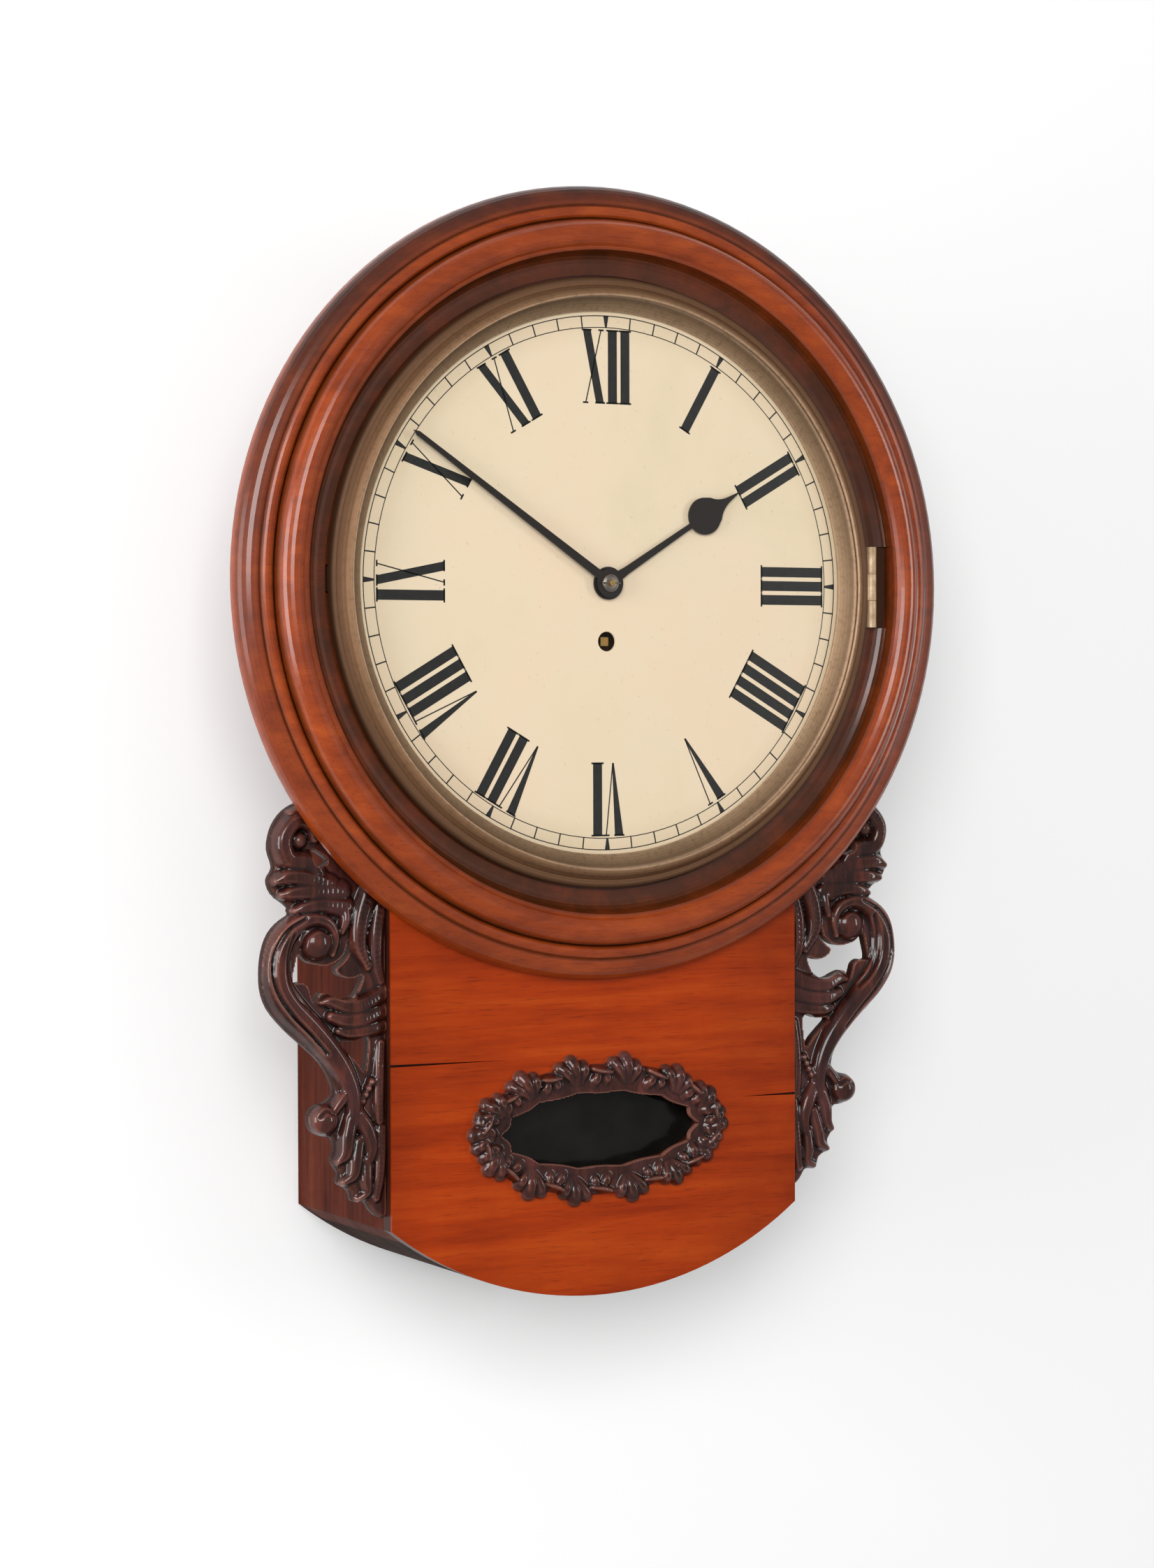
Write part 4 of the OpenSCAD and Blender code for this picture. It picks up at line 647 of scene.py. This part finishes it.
class Relief:
    """A carving as a height field in mm: strokes and a ground plate over a plane, with pierced holes."""

    OUTSIDE = -50.0

    def __init__(self, low, high, cell):
        self.u = np.arange(low[0], high[0] + cell, cell)
        self.z = np.arange(low[1], high[1] + cell, cell)
        self.gu, self.gz = np.meshgrid(self.u, self.z, indexing="ij")
        self.inside = np.full(self.gu.shape, self.OUTSIDE)
        self.height = np.full(self.gu.shape, self.OUTSIDE)

    def along(self, x0, z0, x1, z1, least):
        """For each point of the field, how far along a segment its nearest place lies, and how far off."""
        dx, dz = x1 - x0, z1 - z0
        t = np.clip(((self.gu - x0) * dx + (self.gz - z0) * dz) / max(dx * dx + dz * dz, least), 0, 1)
        return t, np.hypot(self.gu - x0 - t * dx, self.gz - z0 - t * dz)

    def to_outline(self, poly):
        """Signed distance to a closed outline, positive inside."""
        p = np.array(poly)
        q = np.roll(p, -1, 0)
        best = np.full(self.gu.shape, 1e9)
        odd = np.zeros(self.gu.shape, bool)
        for (x0, z0), (x1, z1) in zip(p, q):
            best = np.minimum(best, self.along(x0, z0, x1, z1, 1e-9)[1])
            if z0 != z1:
                odd ^= ((self.gz >= min(z0, z1)) & (self.gz < max(z0, z1))
                        & (self.gu < x0 + (self.gz - z0) * (x1 - x0) / (z1 - z0)))
        return np.where(odd, best, -best)

    def plate(self, poly, level, round_off):
        """A ground plate at a level, its edge rounded off."""
        d = self.to_outline(poly)
        t = np.clip(1 - d / round_off, 0, 1)
        h = level - round_off * (1 - np.sqrt(1 - t * t))
        self.inside = np.maximum(self.inside, d)
        self.height = np.where(d > -0.5, np.maximum(self.height, h), self.height)

    def stroke(self, knots, vein=0.0, base=0.0):
        """A rounded ridge on a base through (u, z, half width, crown) knots; vein is a groove along it."""
        pts = spline(knots)
        if len(pts) == 1:
            pts = np.vstack([pts, pts + 1e-6])
        near = np.full(self.gu.shape, self.OUTSIDE)
        tall = np.full(self.gu.shape, self.OUTSIDE)
        for a, b in zip(pts[:-1], pts[1:]):
            t, d = self.along(a[0], a[1], b[0], b[1], 1e-12)
            half, crown = (a[k] + (b[k] - a[k]) * t for k in (2, 3))
            s = np.clip(d / half, 0, 1)
            h = base + crown * ((1 - s * s) ** 0.5 - vein * np.exp(-(s / VEIN_WIDTH) ** 2))
            tall = np.where((d < half) & (h > tall), h, tall)
            near = np.maximum(near, half - d)
        self.inside = np.maximum(self.inside, near)
        self.height = np.maximum(self.height, tall)

    def notch(self, knots, depth):
        """A V-shaped cut along (u, z, half width) knots."""
        pts = spline(knots)
        cut = np.zeros(self.gu.shape)
        for a, b in zip(pts[:-1], pts[1:]):
            t, d = self.along(a[0], a[1], b[0], b[1], 1e-12)
            cut = np.maximum(cut, np.clip(1 - d / (a[2] + (b[2] - a[2]) * t), 0, 1))
        self.height = self.height - depth * cut

    def pierce(self, poly):
        """Takes away what lies inside an outline."""
        self.inside = np.minimum(self.inside, -self.to_outline(poly))

    def limit(self, poly):
        """Takes away what lies outside an outline."""
        self.inside = np.minimum(self.inside, self.to_outline(poly))

    def mesh(self, edge, back, place):
        """Closes the field into a solid: front at its heights, none under edge, and walls down to back.

        place turns (u, z, height) in mm into a point of the scene.
        """
        verts, faces, index = [], [], {}
        inside, grid_u, grid_z = self.inside, self.u, self.z
        h = np.pad(np.maximum(self.height, edge), 1, mode="edge")
        h = (h[:-2] + 2 * h[1:-1] + h[2:]) / 4
        h = (h[:, :-2] + 2 * h[:, 1:-1] + h[:, 2:]) / 4

        def corner(i, j):
            """The vertex at a grid point."""
            key = (i, j)
            if key not in index:
                index[key] = len(verts)
                verts.append((grid_u[i], grid_z[j], h[i, j]))
            return index[key]

        def crossing(i, j, k, m):
            """The vertex where the edge between two grid points leaves the solid."""
            key = (i, j, k, m) if (i, j) < (k, m) else (k, m, i, j)
            if key not in index:
                a, b = inside[i, j], inside[k, m]
                t = a / (a - b)
                index[key] = len(verts)
                near = h[i, j] if a > 0 else h[k, m]
                verts.append((grid_u[i] + (grid_u[k] - grid_u[i]) * t,
                              grid_z[j] + (grid_z[m] - grid_z[j]) * t, max(edge, near - RIM_DROP)))
            return index[key]

        rims = []
        for i in range(len(self.u) - 1):
            for j in range(len(self.z) - 1):
                loop = [(i, j), (i + 1, j), (i + 1, j + 1), (i, j + 1)]
                signs = [inside[p] > 0 for p in loop]
                if not any(signs):
                    continue
                if all(signs):
                    faces.append([corner(*p) for p in loop])
                    continue
                poly, cuts = [], []
                for a, b, sa, sb in zip(loop, loop[1:] + loop[:1], signs, signs[1:] + signs[:1]):
                    if sa:
                        poly.append(corner(*a))
                    if sa != sb:
                        c = crossing(*a, *b)
                        poly.append(c)
                        cuts.append((c, sa))
                faces.append(poly)
                for (c, leaving), (d, _) in zip(cuts, cuts[1:] + cuts[:1]):
                    if leaving:
                        rims.append((c, d))
        n = len(verts)
        all_verts = [place(*v) for v in verts] + [place(u, z, back) for u, z, _ in verts]
        all_faces = faces + [[v + n for v in reversed(f)] for f in faces]
        all_faces += [[b, a, a + n, b + n] for a, b in rims]
        return all_verts, all_faces


CASE_X = 116.0  # Half the trunk's width, in mm
BRACKET_GROUND = 109.9  # The ground plate's level off the wall
BRACKET_LOW, BRACKET_TOP = -318, -100
FLAT_ANGLE = 48  # Carved faces that meet at less than these degrees are shaded smooth
BRACKET_EDGE = [
    (-10, -140), (-10, -125), (1, -117.5), (12, -109), (26, -106), (38, -107), (48, -109.5),
    (55, -114.5), (59.5, -122), (61, -131), (58.5, -140), (61.5, -146), (59, -153), (51, -159.5),
    (50.5, -163.5), (57.5, -169), (62.5, -178), (65, -188), (65, -199), (61.5, -209), (53, -219),
    (43, -228), (34.5, -236), (29, -245), (27.5, -252), (32, -256), (37.5, -257.5), (41, -262),
    (39.5, -269), (34, -272.5), (28.5, -273.5), (27, -279), (28.5, -285), (25, -291), (25.5, -296),
    (19.5, -300), (17.5, -305.5), (11, -306), (7.5, -311), (1, -314.5), (-10, -306), (-10, -290),
]
STAR_HOLE = [
    (19.9, -176.2), (22.0, -183.2), (27.5, -187.6), (34, -188.6), (41.5, -186.6), (46.2, -182.5),
    (48.2, -188), (49.5, -196.2), (44.5, -196.4), (41.2, -198.6), (39.8, -203), (37.7, -207.1),
    (34.9, -202.0), (29.5, -203), (24.3, -205.3), (17.9, -205.0), (13.6, -199.5), (12.0, -193.8),
    (17.5, -195.6), (23.5, -194.4), (26.6, -190.6), (22.4, -187), (19.2, -182),
]
TAIL_HOLE = [
    (9.6, -224.5), (17, -226.2), (24.6, -227.0), (20, -232), (15.3, -236.6), (11.4, -241.5), (9.8, -236),
]
NECK_HOLE = [(30.4, -137.4), (34.5, -133.8), (39.4, -131.8), (39.6, -136), (38.4, -138.8), (34, -140.2)]


def bracket_relief():
    """The right-hand bracket in mm: u runs out from the trunk's side, z up, heights off the ground."""
    f = Relief((-2, BRACKET_LOW), (70, BRACKET_TOP), 0.6)
    f.plate(closed_spline(BRACKET_EDGE), 0.6, 2.2)
    # The big S: out of the eye, round the outside and down to the foot
    f.stroke([(29, -183, 2.0, 3.5), (27.5, -175, 2.6, 4.5), (31, -168, 3.2, 5.5), (39, -165.2, 4.0, 6.2),
              (48, -168, 5.0, 6.6), (55.5, -175.5, 6.2, 7.0), (58.3, -187, 6.8, 7.0), (57, -199, 7.4, 7.0),
              (50.5, -209, 7.6, 6.8), (42, -217.5, 7.0, 6.6), (33.5, -226.5, 6.4, 6.4),
              (26, -236, 5.8, 6.0), (20.5, -246, 5.2, 5.6), (18, -256, 4.6, 5.2),
              (18.5, -266, 3.6, 4.4)], vein=0.1)
    f.notch([(44, -164.6, 0.7), (53.5, -170.2, 1.3), (59.8, -179.5, 1.6), (61.6, -190, 1.6),
             (59, -201, 1.5), (51.5, -211.8, 1.3), (42, -221.5, 1.0), (33, -231.5, 0.8)], 2.6)
    f.notch([(50.5, -172.5, 1.0), (53.2, -182, 1.3), (53, -193.5, 1.3), (49, -202.8, 1.2),
             (41.5, -210.5, 1.0)], 2.2)
    # The eye
    f.stroke([(37.2, -177.3, 8.6, 6.6)])
    f.notch([(31, -173.2, 0.8), (37, -170.2, 1.0), (43.2, -173.4, 1.0), (45.2, -179.5, 0.8)], 2.2)
    # Curled leaf behind the ring
    f.stroke([(34, -147, 4.5, 3.8), (41, -138, 5.0, 5.2), (52, -136, 5.2, 6.0), (55, -126, 5.0, 6.4),
              (48.5, -117.5, 4.6, 6.0), (40, -119.5, 3.8, 5.2), (38.5, -126, 3.0, 4.2)], vein=0.18)
    f.stroke([(46.5, -127, 4.2, 5.0)])
    f.stroke([(22, -116, 5.0, 3.0), (32, -112.5, 4.0, 4.2), (42, -111.5, 3.2, 4.6),
              (51, -114, 2.2, 3.6)], vein=0.2)
    f.stroke([(30, -149, 5.5, 3.8), (42, -145.5, 5.2, 5.6), (52, -144.5, 4.6, 6.0),
              (58.5, -146.5, 2.4, 4.4)], vein=0.3)
    f.stroke([(24, -152, 5.5, 3.6), (37, -152, 5.0, 5.2), (48, -152.2, 4.4, 5.8),
              (55.5, -153.2, 2.4, 4.2)], vein=0.3)
    f.stroke([(22, -160, 5.5, 3.6), (34, -158.5, 4.6, 5.2), (43, -159.5, 3.8, 5.4),
              (48.8, -161.2, 2.0, 4.0)], vein=0.25)
    # Leaf down the trunk's side to the star-shaped piercing
    f.stroke([(4, -140, 5.0, 3.2), (9, -153, 5.5, 4.6), (14, -166, 5.2, 5.8), (15, -179, 4.4, 5.6),
              (10, -190, 2.2, 3.6)], vein=0.3)
    f.stroke([(3, -160, 3.5, 2.8), (5.5, -174, 4.2, 4.2), (5.5, -188, 3.6, 4.0),
              (3, -197, 2.6, 2.6)], vein=0.25)
    f.stroke([(22, -158, 3.0, 3.0), (22, -166, 3.2, 4.6), (24, -172, 2.2, 3.6)])
    # Round leaf below the piercing
    f.stroke([(1, -203, 4.0, 2.8), (11, -207.5, 4.8, 4.8), (21, -208.8, 4.8, 5.8), (30, -206.0, 3.2, 4.8),
              (35, -206.5, 1.6, 3.2)], vein=0.28)
    f.stroke([(2, -212, 4.2, 3.0), (12, -215, 4.6, 5.2), (22, -215.5, 4.6, 6.0),
              (30, -213.6, 3.0, 4.6)], vein=0.28)
    f.stroke([(2, -219.5, 3.6, 2.8), (11, -221, 3.8, 4.4), (20, -221.8, 3.4, 4.6),
              (26, -221, 2.2, 3.4)], vein=0.25)
    # Beaded rib beside the stem
    for k in range(6):
        f.stroke([(8.5 + 1.6 * k, -246.5 - 3.1 * k, 2.3, 4.4 - 0.2 * k)])
    f.stroke([(3, -228, 2.6, 2.6), (4, -240, 3.0, 3.8), (4.5, -254, 3.2, 4.0),
              (4, -266, 2.8, 3.2)], vein=0.2)
    # Knob, side leaves and tail
    f.stroke([(20, -250, 3.2, 4.0), (26, -256.5, 3.0, 4.6), (30, -262, 2.6, 4.0)], vein=0.2)
    f.stroke([(33.6, -264.4, 7.4, 6.4)])
    f.notch([(29.5, -261.5, 0.8), (33.5, -259.6, 0.9), (37.4, -262.2, 0.8)], 1.6)
    f.stroke([(16, -262, 4.2, 4.0), (11, -270, 4.6, 5.2), (8.5, -279, 4.0, 4.8),
              (10.5, -287, 2.6, 3.4)], vein=0.3)
    f.stroke([(19, -264, 4.2, 4.2), (21.5, -273, 4.4, 5.4), (22.5, -281, 3.8, 5.0),
              (26, -285, 2.0, 3.4)], vein=0.3)
    f.stroke([(15, -276, 3.6, 3.8), (17, -285, 4.2, 5.0), (18.5, -292, 3.4, 4.6),
              (23.5, -295.5, 1.8, 3.0)], vein=0.3)
    f.stroke([(3, -270, 3.0, 2.8), (3.5, -282, 3.2, 3.8), (4.5, -294, 3.2, 4.0),
              (6, -304, 2.6, 3.0)], vein=0.25)
    f.stroke([(11, -286, 3.4, 3.6), (11.5, -295, 3.6, 4.6), (11, -301, 2.6, 3.8),
              (15.5, -304.2, 1.6, 2.6)], vein=0.3)
    f.pierce(closed_spline(STAR_HOLE))
    f.pierce(closed_spline(TAIL_HOLE))
    f.pierce(closed_spline(NECK_HOLE))
    f.limit([(0, BRACKET_TOP), (0, BRACKET_LOW), (69, BRACKET_LOW), (69, BRACKET_TOP)])
    return f


def part_rim(obj):
    """Marks a relief's rims sharp, which parts the shading of its faces from that of its side walls."""
    mesh = obj.data
    half = len(mesh.vertices) // 2
    wall_edges = set()
    for face in mesh.polygons:
        if min(face.vertices) < half <= max(face.vertices):
            wall_edges.update(face.edge_keys)
    for edge in mesh.edges:
        if edge.key in wall_edges and (max(edge.key) < half or min(edge.key) >= half):
            edge.use_edge_sharp = True


def carve_brackets():
    """Both brackets from one relief, each in place of its plain solid."""
    f = bracket_relief()
    back = -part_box("bracket_right")[1].y / MM - BRACKET_GROUND
    for side, name in ((1, "right"), (-1, "left")):
        def place(u, z, h):
            return side * (CASE_X + max(u, 0)) * MM, -(BRACKET_GROUND + h) * MM, z * MM

        verts, faces = f.mesh(-3.0, back, place)
        if side < 0:
            faces = [face[::-1] for face in faces]
        piece = add_piece("carved_bracket_" + name, verts, faces, "carved_wood",
                          smooth=FLAT_ANGLE)
        part_rim(piece)
        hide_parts("bracket_" + name)


carve_brackets()

WREATH_Z = -276.5  # The window's middle, in mm
WREATH_LEAVES = 14
WREATH_PLATE, WREATH_LINE, WREATH_HOLE = (70.5, 33.2), (65.5, 28.2), (54.5, 18.8)  # Half width and height
OUTER_LOBES = ((-6.0, 5.0, 3.5), (0.5, 7.8, 4.3), (7.0, 5.6, 3.6))  # Along, out and half width of each tip
INNER_LOBES = ((-3.8, -4.0, 3.1), (3.4, -4.8, 3.4))
RIB_BASE = 0.4


def wreath_relief():
    """Lobed leaves laid round the pendulum window, each overlapping the next."""
    f = Relief((-83, WREATH_Z - 44), (83, WREATH_Z + 44), 0.5)
    steps = np.linspace(0, 2 * math.pi, 224, False)
    wide, high = WREATH_PLATE
    f.plate([(wide * math.cos(a), WREATH_Z + high * math.sin(a)) for a in steps], 2.4, 2.0)
    rng = np.random.default_rng(11)

    def rib(a, points, vein):
        """A stroke through (along, out, half width, crown) points about the wreath's line at angle a."""
        x, z = WREATH_LINE[0] * math.cos(a), WREATH_LINE[1] * math.sin(a)
        tangent = Vector((-WREATH_LINE[0] * math.sin(a), WREATH_LINE[1] * math.cos(a))).normalized()
        knots = []
        for along, out, half, crown in points:
            if out > 0:
                out *= 1 - 0.3 * math.cos(a) ** 2
            knots.append((x + along * tangent.x + out * tangent.y,
                          WREATH_Z + z + along * tangent.y - out * tangent.x, half, crown))
        f.stroke(knots, vein, RIB_BASE)

    for k in range(WREATH_LEAVES):
        a = 2 * math.pi * k / WREATH_LEAVES + rng.uniform(-0.05, 0.05)
        w, tall = rng.uniform(0.85, 1.1), rng.uniform(5.4, 6.8)
        for along, out, half in OUTER_LOBES:
            rib(a, [(along * 0.3 - 2, -3.0, 2.4, tall * 0.55),
                    (along * 0.8 - 1, out * 0.45, half * 0.92, tall),
                    (along, out * w, half, tall * 0.7)], 0.3)
        b = a + math.pi / WREATH_LEAVES
        low = tall * 0.85
        for along, out, half in INNER_LOBES:
            rib(b, [(along * 0.3 - 1.5, 2.0, 2.2, low * 0.6),
                    (along * 0.8 - 0.5, out * 0.4, half * 0.95, low),
                    (along, out * w, half, low * 0.65)], 0.3)
        rib(b, [(-6, 0.8, 1.6, tall * 0.8), (0, 1.6, 2.2, tall * 1.08), (5, 3.0, 1.6, tall * 0.9)], 0.0)
    inner = []
    for a in steps:
        ripple = 1 - 0.06 * (abs(math.sin(WREATH_LEAVES * a / 2)) - 0.6)
        inner.append((WREATH_HOLE[0] * ripple * math.cos(a),
                      WREATH_Z + WREATH_HOLE[1] * ripple * math.sin(a)))
    f.pierce(inner)
    return f


def carve_wreath():
    """The wreath in place of its plain solid."""
    f = wreath_relief()
    ground = -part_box("front_panel")[0].y / MM
    verts, faces = f.mesh(0.6, -0.3, lambda u, z, h: (u * MM, -(ground + h) * MM, z * MM))
    piece = add_piece("carved_wreath", verts, faces, "carved_wood", smooth=FLAT_ANGLE)
    part_rim(piece)
    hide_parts("window_wreath")


carve_wreath()

# Wall and light

WALL_HALF, WALL_Y = 3.0, 0.0015
WALL_WHITE, WALL_GLOW = 0.8, 0.17
NEAR_WALL = 0.008
WORLD_LIGHT = 0.38
AIM = (0, -0.08, -0.08)
LAMPS = {  # Place, width and height, power
    "key_left": ((-1.2, -2.3, 0.6), (1.2, 1.2), 45),
    "window_left": ((-2.0, -0.62, 0.0), (0.7, 1.3), 25),
    "fill_right": ((2.0, -1.9, 0.1), (0.25, 1.2), 12),
}


def wall_finish():
    """White paint with a glow that only camera, glossy and transmission rays see, clear from behind.

    It is also clear to rays shorter than NEAR_WALL, so that the room lights the back of the clock.
    """
    mat = bpy.data.materials.new("wall_white")
    mat.use_nodes = True
    nodes, links = mat.node_tree.nodes, mat.node_tree.links
    nodes.remove(nodes["Principled BSDF"])

    def calc(op, first, second):
        n = nodes.new("ShaderNodeMath")
        n.operation = op
        for socket, value in zip(n.inputs, (first, second)):
            if isinstance(value, float):
                socket.default_value = value
            else:
                links.new(value, socket)
        return n.outputs[0]

    ray = nodes.new("ShaderNodeLightPath").outputs
    seen = calc("MAXIMUM", ray["Is Camera Ray"],
                calc("MAXIMUM", ray["Is Glossy Ray"], ray["Is Transmission Ray"]))
    diffuse = nodes.new("ShaderNodeBsdfDiffuse")
    diffuse.inputs["Color"].default_value = (WALL_WHITE, WALL_WHITE, WALL_WHITE, 1)
    glow = nodes.new("ShaderNodeEmission")
    links.new(calc("MULTIPLY", seen, WALL_GLOW), glow.inputs["Strength"])
    paint = nodes.new("ShaderNodeAddShader")
    links.new(diffuse.outputs[0], paint.inputs[0])
    links.new(glow.outputs[0], paint.inputs[1])
    behind = nodes.new("ShaderNodeNewGeometry").outputs["Backfacing"]
    choose = nodes.new("ShaderNodeMixShader")
    links.new(calc("MAXIMUM", behind, calc("LESS_THAN", ray["Ray Length"], NEAR_WALL)), choose.inputs[0])
    links.new(paint.outputs[0], choose.inputs[1])
    links.new(nodes.new("ShaderNodeBsdfTransparent").outputs[0], choose.inputs[2])
    links.new(choose.outputs[0], nodes["Material Output"].inputs["Surface"])
    return mat


def make_wall():
    """The wall just behind the clock."""
    mesh = bpy.data.meshes.new("wall")
    r, y = WALL_HALF, WALL_Y
    mesh.from_pydata([(-r, y, -r), (r, y, -r), (r, y, r), (-r, y, r)], [], [(0, 1, 2, 3)])
    wall = bpy.data.objects.new("wall", mesh)
    scene.collection.objects.link(wall)
    mesh.materials.append(wall_finish())


def area_light(name, at, size, power):
    """A soft rectangular lamp that faces the clock."""
    data = bpy.data.lights.new(name, "AREA")
    data.shape = "RECTANGLE"
    data.size, data.size_y = size
    data.energy = power
    lamp = bpy.data.objects.new(name, data)
    lamp.location = at
    lamp.rotation_euler = (Vector(AIM) - Vector(at)).to_track_quat("-Z", "Y").to_euler()
    scene.collection.objects.link(lamp)


def make_world():
    """Even white light from all round."""
    world = bpy.data.worlds.new("studio")
    scene.world = world
    world.use_nodes = True
    back = world.node_tree.nodes["Background"]
    back.inputs["Color"].default_value = (1, 1, 1, 1)
    back.inputs["Strength"].default_value = WORLD_LIGHT


make_wall()
make_world()
for lamp_name, (lamp_at, lamp_size, lamp_power) in LAMPS.items():
    area_light(lamp_name, lamp_at, lamp_size, lamp_power)
